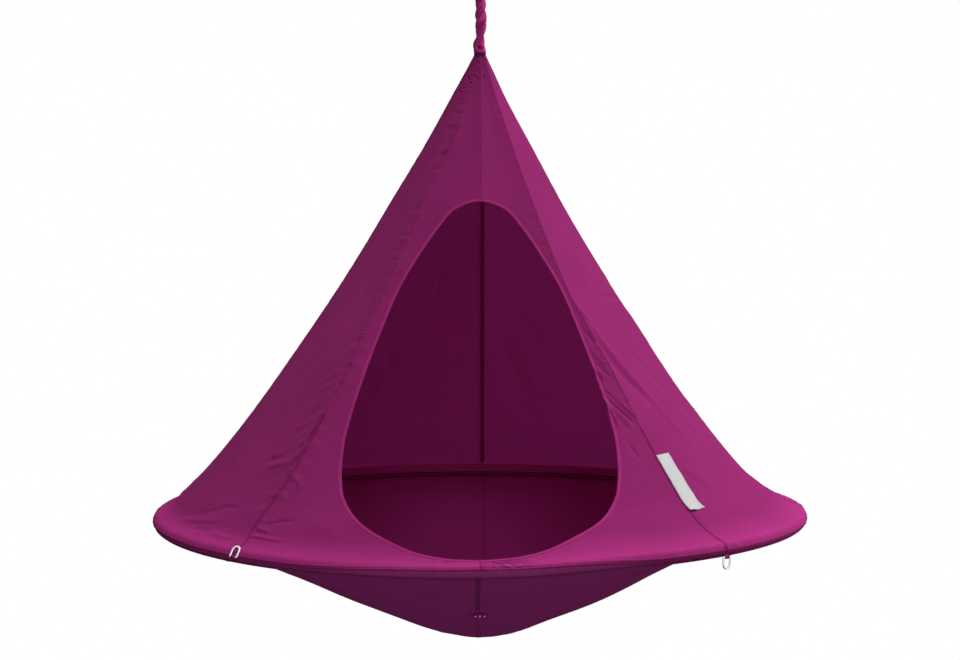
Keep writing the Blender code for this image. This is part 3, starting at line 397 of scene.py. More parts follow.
class Finish:
    """A material: uniform values go on the shader, and nodes feed what changes over the surface."""

    def __init__(self, name, uniform):
        self.material = bpy.data.materials.new(name)
        self.material.use_nodes = True
        self.tree = self.material.node_tree
        self.shader = self.tree.nodes["Principled BSDF"]
        for socket, value in uniform.items():
            self.shader.inputs[socket].default_value = value

    def node(self, kind, settings=None, sockets=None, out=0):
        made = self.tree.nodes.new("ShaderNode" + kind)
        for key, value in (settings or {}).items():
            setattr(made, key, value)
        for key, value in (sockets or {}).items():
            if isinstance(value, Value):
                self.tree.links.new(value.socket, made.inputs[key])
            else:
                made.inputs[key].default_value = value
        return Value(self, made.outputs[out])

    def feed(self, socket, value):
        self.tree.links.new(value.socket, self.shader.inputs[socket])

    def let_through(self, colour, share):
        """Thin cloth: a share of the light goes on through it."""
        through = self.node("BsdfTranslucent", sockets={"Color": colour})
        solid = Value(self, self.shader.outputs[0])
        both = self.node("MixShader", sockets={0: share, 1: solid, 2: through})
        self.tree.links.new(both.socket, self.tree.nodes["Material Output"].inputs["Surface"])

    def place(self):
        return self.node("TexCoord", out="Object")

    def map(self, name):
        return self.node("UVMap", {"uv_map": name})

    def split(self, vector):
        parts = self.node("SeparateXYZ", sockets={0: vector}).socket.node
        return [Value(self, socket) for socket in parts.outputs]

    def noise(self, vector, scale, detail=2.0):
        """Noise of one scale, or of one scale along each axis."""
        if isinstance(scale, tuple):
            vector = self.node("VectorMath", {"operation": "MULTIPLY"}, {0: vector, 1: scale})
            scale = 1.0
        return self.node("TexNoise", sockets={"Vector": vector, "Scale": scale, "Detail": detail})

    def mixed(self, factor, first, second):
        return self.node("Mix", {"data_type": "RGBA"}, {0: factor, 6: first, 7: second}, out=2)

    def shaded(self, colour, factor):
        return self.node("VectorMath", {"operation": "SCALE"}, {0: colour, "Scale": factor})

    def bumped(self, height):
        """Heights in millimetres."""
        sockets = {"Strength": 1.0, "Distance": 0.001, "Height": height}
        self.feed("Normal", self.node("Bump", sockets=sockets))


def stitched(finish, pale, height, colour, map_name, rows):
    """Dashes of thread on each row, and the dimples that they pull into the cloth, darkened as painted shade.
    """
    away, along = finish.split(finish.map(map_name))[:2]
    dash = along.share_of(PITCH) < STITCH_SHARE
    thread = 0.0
    dimple = 0.0
    for row in rows:
        thread = (abs(away - row) < THREAD_HALF) + thread
        dimple = away.peak(row, DIMPLE_HALF) + dimple
    thread = thread * dash
    bright = tuple(min(1, 1.25 * part + 0.01) for part in colour)
    # The dimples are also darkened as painted shade.
    pale = finish.mixed(thread, finish.shaded(pale, 1 - 0.35 * dimple), (*bright, 1))
    return pale, height + 0.45 * thread - 0.60 * dimple


def lip_strokes(finish):
    """Slanting strokes on the lip right of the front seam, as triangle waves, and where they show."""
    climb, aside = finish.split(finish.map("Hem"))[:2]
    arc = aside + RING_RADIUS * math.radians(GORE / 2)
    stroke = (arc + 2.1 * climb).share_of(LIP_PERIODS[0]).peak(0.5, 0.15)
    stroke = stroke + 0.6 * (arc + 1.6 * climb).share_of(LIP_PERIODS[1]).peak(0.5, 0.18)
    within = (1.6 - abs(arc - 0.058) / 0.034).positive().capped() * (climb < 0.040) * (climb > 0.002)
    return stroke, within * (finish.split(finish.place())[1] < LIP_FRONT)


def canvas_finish(name, colour, seam_rows=(), hem_rows=(), through=0.28, **extra):
    """Plain-woven cotton canvas with slubs along both yarns, mottling, clouding and stitch rows.

    The weave is a sine across times a sine along, and the shade is a sum of noises. through is the share of
    light that goes on through the cloth. The extras are the strength of the painted shade on the band by the
    seam and on its folded edge (banded), of the strokes on the lip, bumped and darkened as painted shade
    (wrinkled), of the painted highlight that pales the cloth near the hem (worn) and of the small creases by
    the seams (creased), and the place of a painted shadow line (crevice).
    """
    uniform = {"Roughness": 0.9, "Sheen Weight": 0.02, "Sheen Roughness": 0.5, "Specular IOR Level": 0.0}
    finish = Finish(name, uniform)
    finish.let_through(LIT_THROUGH, through)
    cloth = finish.map("Cloth")
    across, along = finish.split(cloth)[:2]
    weave = across.wave(2 * YARN) * along.wave(2 * YARN)
    warp = finish.noise(cloth, (900, 26, 1), 3.0)
    weft = finish.noise(cloth, (26, 900, 1), 3.0)
    cloud = finish.noise(finish.place(), 7.0, 3.0)
    speck = finish.noise(cloth, 650.0, 1.0)
    mottle = finish.noise(cloth, 150.0, 3.0)
    shade = 0.52 + 0.16 * warp + 0.14 * weft + 0.18 * cloud + 0.04 * speck + 0.44 * mottle
    pale = finish.shaded(colour, shade)
    height = 0.045 * weave + 0.10 * warp + 0.10 * weft
    if seam_rows:
        pale, height = stitched(finish, pale, height, colour, "Seam", seam_rows)
    if hem_rows:
        pale, height = stitched(finish, pale, height, colour, "Hem", hem_rows)
    # Painted shade: the felled band by the seam, and its folded edge more, are darkened, on the front only.
    if "banded" in extra:
        away = finish.split(finish.map("Seam"))[0]
        outside = finish.split(finish.place())[1] < BAND_FRONT
        band_shade = extra["banded"] * (away < SEAM_BAND) + 0.3 * away.peak(0.0095, 0.0014)
        pale = finish.shaded(pale, 1 - band_shade * outside)
    if "wrinkled" in extra:
        stroke, within = lip_strokes(finish)
        # Painted shade in the strokes' troughs, over their bump.
        pale = finish.shaded(pale, 1 - 0.40 * extra["wrinkled"] * stroke.capped() * within)
        height = height - 2.4 * extra["wrinkled"] * stroke * within
    # Painted highlight: the cloth within about 0.1 m of the hem is made paler, standing in for the light that
    # the lip catches.
    if "hem_highlight" in extra:
        edge = finish.split(finish.map("Hem"))[0]
        pale = finish.shaded(pale, 1 + extra["hem_highlight"] * (1.25 - edge / 0.08).positive().capped())
    if "creased" in extra:
        gather = finish.map("Gather")
        fade = (1 - finish.split(gather)[0] / 0.034).positive() ** 2
        crease = finish.noise(gather, (60, 240, 1), 2.0)
        height = height + extra["creased"] * 2.6 * fade * (crease - 0.5)
    # Painted shadow: a dark line on the sleeve's inner side, just below its middle, where the bowl's cloth
    # meets it.
    if "crevice" in extra:
        away = finish.split(finish.map("Seam"))[0]
        painted_shadow = (1.6 - abs(away - extra["crevice"]) / 0.0013).positive().capped()
        pale = finish.shaded(pale, 1 - 0.9 * painted_shadow)
    finish.feed("Base Color", pale)
    finish.bumped(height)
    return finish


def label_finish():
    """Pale grey satin-woven tape with fine ribs across it."""
    finish = Finish("label_weave", {"Roughness": 0.55, "Sheen Weight": 0.15, "Specular IOR Level": 0.35})
    cloth = finish.map("Cloth")
    across, along = finish.split(cloth)[:2]
    ribs = along.wave(0.0011)
    warp = finish.noise(cloth, (1200, 60, 1))
    edge = abs(across - LABEL_WIDTH / 2) > 0.0182
    finish.feed("Base Color", finish.shaded(PALE_GREY, 0.93 + 0.10 * warp + 0.02 * ribs - 0.05 * edge))
    finish.bumped(0.05 * ribs + 0.08 * warp + 0.18 * edge)
    return finish


def rope_finish():
    """Braided sheath of the rope: strands cross in diamonds, red with orange flecks."""
    finish = Finish("red_braid", {"Roughness": 0.7, "Sheen Weight": 0.3, "Specular IOR Level": 0.35})
    cloth = finish.map("Cloth")
    around_rope, along = finish.split(cloth)[:2]
    left = (around_rope / 0.0251 * 8 + along / 0.0052).wave(1.0)
    right = (around_rope / 0.0251 * 8 - along / 0.0052).wave(1.0)
    diamonds = left * right
    fibre = finish.noise(cloth, (2500, 500, 1))
    red = finish.shaded(ROPE_RED, 0.72 + 0.18 * diamonds + 0.35 * fibre)
    finish.feed("Base Color", finish.mixed((left > 0.86) * 0.75, red, ROPE_FLECK))
    finish.bumped(0.32 * diamonds + 0.15 * fibre)
    return finish


def metal_finish(name, colour, roughness, streaks, wear=0.12):
    """Bright metal with fine drawing streaks and a cloudy, slightly duller skin."""
    finish = Finish(name, {"Metallic": 1.0, "Specular IOR Level": 0.5})
    place = finish.place()
    lines = finish.noise(place, streaks, 3.0)
    cloud = finish.noise(place, 60.0, 3.0)
    finish.feed("Base Color", finish.shaded(colour, 1 - wear + wear * 1.6 * cloud))
    finish.feed("Roughness", roughness - 0.06 + 0.12 * cloud + 0.08 * lines)
    finish.bumped(0.012 * lines)
    return finish


def wood_finish():
    """Turned beech: rings across the grain and short dark rays."""
    finish = Finish("turned_beech", {"Roughness": 0.5, "Specular IOR Level": 0.4, "Coat Weight": 0.15})
    place = finish.place()
    grain = finish.noise(place, (420, 60, 420), 4.0)
    rings = finish.noise(place, (70, 10, 70), 1.0)
    colour = finish.mixed(grain, (0.42, 0.25, 0.12, 1), (0.60, 0.40, 0.21, 1))
    finish.feed("Base Color", finish.shaded(colour, 0.8 + 0.4 * rings))
    finish.bumped(0.08 * grain)
    return finish


def plate_finish():
    """Zinc-plated steel: small crystals, each a little lighter or darker than the next."""
    finish = Finish("zinc_plate", {"Metallic": 1.0})
    place = finish.place()
    crystal = finish.node("TexVoronoi", sockets={"Vector": place, "Scale": 260.0}, out="Color")
    tone = finish.split(crystal)[0]
    cloud = finish.noise(place, 40.0, 3.0)
    finish.feed("Base Color", finish.shaded(ZINC, 0.82 + 0.16 * tone + 0.12 * cloud))
    finish.feed("Roughness", 0.30 + 0.12 * tone)
    finish.bumped(0.02 * cloud)
    return finish


def sheath_finish(colour):
    """The canopy's canvas, with a hole rubbed through low on the front, through which the rope shows."""
    finish = canvas_finish("sheath_canvas", colour, seam_rows=(0.0,), through=0.12)
    across, up = finish.split(finish.map("Hole"))[:2]
    ragged = finish.noise(finish.place(), 900.0, 2.0)
    finish.feed("Alpha", across * across + up * up + 0.5 * ragged > 1.30)
    return finish


def limited(value):
    """Cut off below 0 and above 1."""
    return np.clip(value, 0, 1)


def wave(run, period, shift=0.0):
    return np.sin(2 * np.pi * run / period + shift)


def bell(away, width):
    """A bell curve: 1 in the middle, 1/e at the width."""
    return np.exp(-((away / width) ** 2))


def facing(azimuth):
    """The same azimuth between -180 and 180."""
    return np.mod(azimuth + 180, 360) - 180


def points_of(x, y, z):
    return np.stack(np.broadcast_arrays(x, y, z), -1)


def sweep(start, end, steps):
    """Even steps from one angle to another, given in degrees."""
    return np.radians(np.linspace(start, end, steps))


def unit(vectors):
    return vectors / np.linalg.norm(vectors, axis=-1)[..., None]


def spokes(angles):
    return np.stack([np.cos(angles), np.sin(angles)], 1)


def lengths(points, axis):
    """Distance along one axis of a grid from its start."""
    steps = np.linalg.norm(np.diff(points, axis=axis), axis=-1)
    first = np.zeros_like(np.take(steps, [0], axis=axis))
    return np.concatenate([first, np.cumsum(steps, axis=axis)], axis=axis)


def surface(name, points, finish, body, stands_for=(), maps=None, slot="canvas", **how):
    """A piece from a grid of points, a row for each step along it and a column for each step across it.

    around and along close the grid on itself, flip turns its faces over, thick gives it a wall on its inner
    side and weld closes its poles.
    """
    around, along = how.get("around", False), how.get("along", False)
    rows, columns = points.shape[:2]
    closed = np.concatenate([points, points[:, :1]], 1) if around else points
    closed = np.concatenate([closed, closed[:1]], 0) if along else closed
    layers = {"Cloth": (lengths(closed, 1), lengths(closed, 0))}
    layers.update(maps or {})
    row = np.arange(closed.shape[0] - 1)[:, None, None] + np.array([0, 0, 1, 1])
    column = np.arange(closed.shape[1] - 1)[None, :, None] + np.array([0, 1, 1, 0])
    row, column = np.broadcast_arrays(row, column)
    if how.get("flip", False):
        row, column = row[..., ::-1], column[..., ::-1]
    corners = (row % rows) * columns + column % columns
    count = corners.shape[0] * corners.shape[1]
    mesh = bpy.data.meshes.new(name)
    mesh.vertices.add(rows * columns)
    mesh.vertices.foreach_set("co", points.astype(np.float32).ravel())
    mesh.loops.add(4 * count)
    mesh.loops.foreach_set("vertex_index", corners.astype(np.int32).ravel())
    mesh.polygons.add(count)
    mesh.polygons.foreach_set("loop_start", np.arange(0, 4 * count, 4, dtype=np.int32))
    mesh.polygons.foreach_set("use_smooth", np.ones(count, bool))
    for layer, (u, v) in layers.items():
        u, v = np.broadcast_to(u, closed.shape[:2]), np.broadcast_to(v, closed.shape[:2])
        pairs = np.stack([u[row, column], v[row, column]], -1)
        mesh.uv_layers.new(name=layer).data.foreach_set("uv", pairs.astype(np.float32).ravel())
    mesh.update(calc_edges=True)
    mesh.validate()
    mesh.materials.append(finish.material)
    if how.get("weld", False):
        welded(mesh)
    piece = bpy.data.objects.new(name, mesh)
    bpy.context.scene.collection.objects.link(piece)
    if "thick" in how:
        wall = piece.modifiers.new("wall", "SOLIDIFY")
        wall.thickness = how["thick"]
        wall.offset = -1
    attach(piece, body)
    if stands_for:
        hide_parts(*stands_for)
    return piece


def welded(mesh):
    """Merges the doubled points of poles and turns all faces outwards."""
    shape = bmesh.new()
    shape.from_mesh(mesh)
    bmesh.ops.remove_doubles(shape, verts=shape.verts, dist=1e-6)
    bmesh.ops.recalc_face_normals(shape, faces=shape.faces)
    shape.to_mesh(mesh)
    shape.free()


def capped(grid):
    """A tube's grid with both ends drawn to their middles."""
    middles = grid[[0, -1]].mean(1, keepdims=True) + 0 * grid[[0, -1]]
    return np.concatenate([middles[:1], grid, middles[1:]])


def carried(path, outline, reference, loop=False):
    """An outline carried along a path: its first axis lies square to the path, nearest to the reference."""
    path = np.asarray(path, float)
    along = unit(np.roll(path, -1, 0) - np.roll(path, 1, 0) if loop else np.gradient(path, axis=0))
    side = np.broadcast_to(np.asarray(reference, float), path.shape)
    side = unit(side - along * (side * along).sum(1)[:, None])
    other = np.cross(along, side)
    outline = np.broadcast_to(outline, (len(path),) + np.shape(outline)[-2:])
    return path[:, None] + outline[..., :1] * side[:, None] + outline[..., 1:] * other[:, None]


def circle(radius, sides, twist=0.0):
    """A round outline; radius and twist may differ from station to station."""
    turn = 2 * np.pi * np.arange(sides) / sides + np.reshape(twist, (-1, 1))
    return np.reshape(radius, (-1, 1, 1)) * np.stack([np.cos(turn), np.sin(turn)], -1)


def turned(profile, centre, sides=48):
    """A profile of radii and heights turned about an upright axis, with both ends on the axis."""
    radius, height = np.array(profile, float).T[..., None]
    turn = 2 * np.pi * np.arange(sides) / sides
    x, y, z = centre
    return points_of(x + radius * np.cos(turn), y + radius * np.sin(turn), z + height)


def eased(path, steps):
    """A finer path through the same points, as a cubic through each four neighbours."""
    path = np.asarray(path, float)
    ends = np.concatenate([[2 * path[0] - path[1]], path, [2 * path[-1] - path[-2]]])
    t = np.linspace(0, 1, steps, endpoint=False)[None, :, None]
    a, b, c, d = ends[:-3, None], ends[1:-2, None], ends[2:-1, None], ends[3:, None]
    fine = b + t * (c - a) / 2 + t**2 * (2 * a - 5 * b + 4 * c - d) / 2 + t**3 * (3 * b - a - 3 * c + d) / 2
    return np.concatenate([fine.reshape(-1, path.shape[1]), path[-1:]])


def smooth_through(knots, at):
    """A curve through the knots that never overshoots between two of them."""
    x, y = np.array(knots, float).T
    slope = np.diff(y) / np.diff(x)
    product = slope[:-1] * slope[1:]
    total = np.where(slope[:-1] + slope[1:] == 0, 1, slope[:-1] + slope[1:])
    middle = np.where(product > 0, 2 * product / total, 0)
    tangent = np.concatenate([slope[:1], middle, slope[-1:]])
    at = np.clip(at, x[0], x[-1])
    i = np.clip(np.searchsorted(x, at, side="right") - 1, 0, len(slope) - 1)
    span = np.diff(x)[i]
    t = (at - x[i]) / span
    rise = (2 * t**3 - 3 * t**2 + 1) * y[i] + (3 * t**2 - 2 * t**3) * y[i + 1]
    return rise + span * ((t**3 - 2 * t**2 + t) * tangent[i] + (t**3 - t**2) * tangent[i + 1])


def slope_of(curve, at):
    """The slope of a curve, by a small step to both sides."""
    return (curve(at + SMALL_STEP) - curve(at - SMALL_STEP)) / (2 * SMALL_STEP)


def around(azimuth, radius, height):
    """A place by its azimuth, its distance from the upright axis and its height over the ring's plane."""
    turn = np.radians(azimuth)
    return points_of(radius * np.sin(turn), -radius * np.cos(turn), height + RING_PLANE)


def drift(height):
    return 0.001 * smooth_through(DRIFT, height)


def hung(azimuth, radius, height):
    """A place on the cloth as it hangs, by its true azimuth: drawn to the left and up at the right front.

    The rise is the ring's own at the ring and fades out over FADE_OVER and FADE_UNDER as a smooth step.
    """
    points = around(azimuth, radius, height)
    height = np.broadcast_to(height, points.shape[:-1])
    near_ring = limited(1 - np.abs(height) / np.where(height > 0, FADE_OVER, FADE_UNDER))
    points[..., 0] += drift(height)
    rise = 0.001 * smooth_through(RING_RISE, facing(azimuth))
    points[..., 2] += rise * near_ring**2 * (3 - 2 * near_ring)
    return points


def undrifted(azimuth, radius, height):
    """Degrees that keep the front and back seams straight while the rest of the cloth drifts."""
    apart = np.abs(facing(azimuth))
    behind = apart > 135
    level = (0.006 * behind - drift(height)) / radius
    ahead = np.degrees(np.arcsin(np.clip(level, -0.5, 0.5)))
    return np.cos(np.radians(2 * azimuth)) ** 2 * ahead * ((apart < 45) * 1.0 - behind)


def canopy_radius(azimuth, height):
    """Round at the ring, flat between the seams above ROUND_BELOW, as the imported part."""
    share = (height - SEAT_ON_SLEEVE) / (NECK_HEIGHT - SEAT_ON_SLEEVE)
    seam = NECK_RADIUS + (RING_RADIUS - NECK_RADIUS) * smooth_through(CANOPY_OUTLINE, share)
    off = np.mod(np.radians(azimuth), math.pi / 4) - math.pi / 8
    flat = math.cos(math.pi / 8) / np.cos(off)
    roundness = np.clip(1 - (height - CLOTH_FOOT) / (ROUND_BELOW - CLOTH_FOOT), 0, 1)
    return seam * (flat + (1 - flat) * roundness)


def leaned(azimuth, height):
    """The true azimuth of a place on the cloth: both front side seams are pulled towards the door."""
    share = np.sin(np.radians(2 * azimuth)) ** 2
    front = facing(azimuth)
    right = smooth_through(RIGHT_LEAN, height) * ((front > 0) & (front < 90))
    left = smooth_through(LEFT_LEAN, height) * ((front < 0) & (front > -90))
    held = undrifted(azimuth, canopy_radius(0.0, height), height)
    return azimuth - share * right + share * left + held


def canopy_cloth(azimuth, height, rise=0.0):
    """The canopy's outer face, moved out by rise square to its slope."""
    slope = slope_of(lambda at: canopy_radius(azimuth, at), height)
    length = np.hypot(1, slope)
    radius = canopy_radius(azimuth, height) + rise / length
    return hung(leaned(azimuth, height), radius, height - rise * slope / length)


def rim_cloth(azimuth, angle, radius):
    """A point on cloth wrapped round the ring: angle 0 faces out, 90 up."""
    turn = np.radians(angle)
    points = hung(azimuth, RING_RADIUS + radius * np.cos(turn), 0.0 * azimuth + 0.0 * turn)
    points[..., 2] += radius * np.sin(turn)
    return points


def bowl_height(radius):
    """Height of the bowl's underside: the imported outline, a little fuller halfway out."""
    fuller = radius - 0.007 * np.sin(np.pi * limited(radius / RING_RADIUS))
    shape = smooth_through(BOWL_OUTLINE, fuller / RING_RADIUS)
    return -SEAT_ON_SLEEVE - (BOWL_DEPTH - SEAT_ON_SLEEVE) * shape


def bowl_cloth(azimuth, radius, rise=0.0):
    """The bowl's underside, moved out by rise square to its slope."""
    slope = slope_of(bowl_height, radius)
    length = np.hypot(1, slope)
    height = bowl_height(radius)
    held = azimuth + undrifted(azimuth, np.maximum(radius, 0.05), height)
    return hung(held, radius + rise * slope / length, height - rise / length)


HEIGHT_TABLE = np.linspace(CLOTH_FOOT, CANOPY_TOP, 1500)
LENGTH_TABLE = lengths(canopy_cloth(0.0, HEIGHT_TABLE), 0)


def seam_length(height):
    """Length along a seam from the canopy's foot."""
    return np.interp(height, HEIGHT_TABLE, LENGTH_TABLE)


def scattered_folds():
    """Soft folds on the gores that the door's side doesn't show, one fixed draw from a seed."""
    draw = np.random.default_rng(8)
    found = []
    for middle in (67, 80, 112, 158, 202, 248, 280, 293):
        for _ in range(4):
            low = draw.uniform(0.05, 0.55)
            lean = draw.uniform(-14, 14)
            start = middle + draw.uniform(-16, 16)
            tall = draw.uniform(0.08, 0.26)
            line = ((start, low + tall), (start + lean * 0.4, low + tall / 2), (start + lean, low))
            deep = draw.uniform(1.0, 2.6) * (0.45 if middle < 100 or middle > 260 else 1.0)
            found.append((draw.choice([-1.0, 1.0]) * deep, draw.uniform(6, 14), line))
    return tuple(found)


def fold_relief(points, folds):
    """Each fold is a ridge: a bell curve of the distance to its line, fading to nothing at both ends.

    The lines are given as seen from the front, so each is first turned by what the cloth drifts there.
    """
    total = np.zeros(points.shape[:-1])
    for rise, width, line in folds:
        azimuth, height = np.array(line, float).T
        seen = np.sin(np.radians(azimuth))
        true = np.clip(seen - drift(height) / canopy_radius(azimuth, height), -1, 1)
        azimuth = azimuth + np.degrees(np.arcsin(true)) - np.degrees(np.arcsin(seen))
        route = eased(hung(azimuth, canopy_radius(azimuth, height), height), 4)
        spans = np.diff(route, axis=0)
        reach = lengths(route, 0)
        offset = points[..., None, :] - route[:-1]
        t = limited((offset * spans).sum(-1) / (spans * spans).sum(-1))
        distance = np.linalg.norm(offset - t[..., None] * spans, axis=-1)
        nearest = distance.argmin(-1)[..., None]
        share = np.take_along_axis(reach[:-1] + t * np.diff(reach), nearest, -1)[..., 0] / reach[-1]
        near = np.take_along_axis(distance, nearest, -1)[..., 0]
        total += FOLD_SCALE * rise * bell(near, 0.001 * width) * (1 - (2 * share - 1) ** 4)
    return total


ALL_FOLDS = FOLDS + scattered_folds()


def lip_wrinkles(azimuth, rise):
    """Slanting troughs on the lip right of the front seam, by the distance up from the stitched edge.

    Two rows of bell curves, repeated along the rim and pushed on as they climb, within a soft window.
    """
    arc = np.radians(facing(azimuth)) * RING_RADIUS
    first = np.mod((arc + 2.1 * rise) / LIP_PERIODS[0], 1) - 0.5
    second = np.mod((arc + 1.7 * rise) / LIP_PERIODS[1] + 0.3, 1) - 0.5
    trough = bell(first, 0.13) + 0.45 * bell(second, 0.17)
    window = np.exp(-(((arc - 0.055) / 0.048) ** 4)) * limited(rise / 0.003)
    return -0.0016 * trough * window * limited((0.026 - rise) / 0.008)


def puckers(run, seam, away, radius, waves):
    """A sum of waves along a seam, dying away from it as a bell curve and flattened near the axis."""
    beat = 0.0
    for share, period, shift in waves:
        beat = beat + share * wave(run, period, shift * seam)
    return beat * bell(away, PUCKER_REACH) * limited(radius / 0.1)


def slack_waves(gore, share, run, height):
    """Two slow waves up each gore, widest in its middle, fading out towards the neck and the rim."""
    slow = wave(run, 0.47, 1.7 * gore + 3 * share) + wave(run, 0.83, 2.9 * gore)
    fade = limited((1 - height / NECK_HEIGHT) * 2) * limited((height - CLOTH_FOOT) / 0.07)
    return 0.0016 * np.sin(np.pi * share) ** 2 * slow * fade


def side_gathers(on_left, run, away, height):
    """Sharp ridges that fan out from the left front seam, wide on its left and narrow on its right."""
    fan = run + np.where(on_left, 0.85, 0.45) * away + 0.006 * wave(run, 0.11)
    ridge = np.exp(2.6 * (wave(fan, 0.041) - 1)) + 0.6 * np.exp(3 * (wave(fan, 0.0205, 2) - 1))
    reach = np.where(on_left, 0.12, 0.04) * (0.7 + 0.3 * wave(run, 0.23))
    fade = limited((height - 0.05) / 0.05) * limited((0.47 - height) / 0.12)
    return 0.0027 * ridge * bell(away, reach) * limited(away / 0.022) * fade


def neck_creases(azimuth, height):
    """The tie's groove, upright pleats that open below it, and small level creases on the left front."""
    groove = -0.0008 * bell(height - TIE_HEIGHT, 0.0022)
    pleats = 0.0005 * np.sin(np.radians(azimuth) * 40) * np.exp(-(NECK_HEIGHT - height) / 0.030)
    left_front = limited((azimuth + 68) / 8) * limited((-1 - azimuth) / 5)
    ripple = np.sin(2 * np.pi * (height / 0.0085 + 0.4 * np.sin(np.radians(azimuth) * 8)))
    cinched = -0.0008 * limited(ripple) ** 2 * left_front * bell(height - 1.005, 0.042)
    return groove + np.where(height > 0.8, pleats, 0) + cinched


def canopy_relief(azimuth, height):
    """How far the canopy stands off its plain shape: a sum of waves, puckers, gathers, creases and folds."""
    azimuth, height = np.broadcast_arrays(np.asarray(azimuth, float), np.asarray(height, float))
    radius = canopy_radius(azimuth, height)
    run = seam_length(height)
    share = np.mod(azimuth, GORE) / GORE
    gore = np.floor(np.mod(azimuth, 360) / GORE)
    seam = np.round(np.mod(azimuth, 360) / GORE) % 8
    away = radius * np.radians(GORE) * np.minimum(share, 1 - share)
    strong = 0.35 + 0.65 * wave(run, 0.61, 2.2 * seam) ** 2
    drawn = 0.00042 * DRAWN[seam.astype(int)] * strong * puckers(run, seam, away, radius, CANOPY_PUCKERS)
    gathered = side_gathers(share > 0.5, run, away, height) * (seam == 7)
    lip = lip_wrinkles(azimuth, run + LAP_RADIUS * math.radians(LEAVE_ANGLE - 28))
    folds = fold_relief(canopy_cloth(facing(azimuth), height), ALL_FOLDS)
    creases = neck_creases(facing(azimuth), height)
    return slack_waves(gore, share, run, height) + drawn + gathered + creases + lip + folds


def band(away, width):
    """The felled seam: one layer more over the band's width, with a rounded fold at each edge."""
    rising = np.clip(away / 0.0006, 0, 1)
    falling = np.clip((width - away) / 0.0008, 0, 1)
    return SEAM_RISE * np.sqrt(rising) * falling


def across_gore(width, inner_columns=41, crowding=1.0):
    """Shares across a gore: fine cells by both seams, wider ones between, crowded towards its start."""
    zone = np.minimum(0.012 / width, 0.2)[:, None]
    edge = np.linspace(0, 1, 9)
    first = zone * edge
    inner = zone + (1 - 2 * zone) * np.linspace(0, 1, inner_columns)[1:-1] ** crowding
    last = 1 - zone * edge[::-1]
    return np.concatenate([first, inner, last], 1)


def door_line(steps, side):
    """Half of the door's edge from foot to top, evenly spaced: places across the cloth and heights.

    The outline is as seen from the front, so each place is found by twelve rounds of turning it back.
    """
    x, y = np.array(DOOR_OUTLINE).T * np.array([[DOOR_HALF_WIDTH], [DOOR_TOP - DOOR_BOTTOM]])
    x = np.concatenate([[-x[1]], x, [-x[-2]]])
    y = np.concatenate([[y[1]], y, [y[-2]]])
    run = np.cumsum(np.hypot(np.diff(x, prepend=x[0]), np.diff(y, prepend=y[0])))
    at = np.linspace(run[1], run[-2], steps + 1)
    half = smooth_through(list(zip(run, x)), at)
    height = DOOR_BOTTOM + smooth_through(list(zip(run, y)), at)
    azimuth = np.zeros_like(half)
    for _ in range(12):
        true = np.degrees(np.arcsin((side * half - drift(height)) / canopy_radius(azimuth, height)))
        azimuth = true - (leaned(azimuth, height) - azimuth)
    return azimuth, height


def gore_stations(number):
    """Heights up a gore's cloth, and at each the degrees by which the door cuts into it."""
    if number in (0, 7):
        door, heights = door_line(220, 1 if number == 0 else -1)
        foot = np.linspace(CLOTH_FOOT, DOOR_BOTTOM, 5)[:-1]
        over = [np.linspace(DOOR_TOP, FINE_ABOVE, 51)[1:], np.linspace(FINE_ABOVE, CANOPY_TOP, 101)[1:]]
        over = np.concatenate(over)
        return np.concatenate([foot, heights, over]), np.concatenate([0 * foot, door, 0 * over])
    reach = seam_length(FINE_ABOVE)
    runs = np.concatenate([np.linspace(0, reach, 281)[:-1], np.linspace(reach, LENGTH_TABLE[-1], 91)])
    heights = np.interp(runs, LENGTH_TABLE, HEIGHT_TABLE)
    return heights, 0 * heights


def gore_piece(kind, number, points, finish, grids):
    """A gore with its maps: on the cloth, from its felled seam, from its hem, and by its gathers."""
    sideways, climb, away, room, hem, gathered, nearer = grids
    maps = {
        "Cloth": (sideways, climb),
        "Seam": (away * SEAM_BAND / room, climb),
        "Hem": (hem, sideways),
        "Gather": (gathered, climb + nearer * 1.7),
    }
    name = GORE_NAMES[number]
    return surface(f"{kind}_{name}", points, finish, "tent", [f"{kind}_gore_{name}"], maps, thick=CANVAS)


def padded(grids, before, after):
    """Grids whose first or last row goes on over the stitched lap."""
    return [np.pad(grid, ((before, after), (0, 0)), mode="edge") for grid in grids]


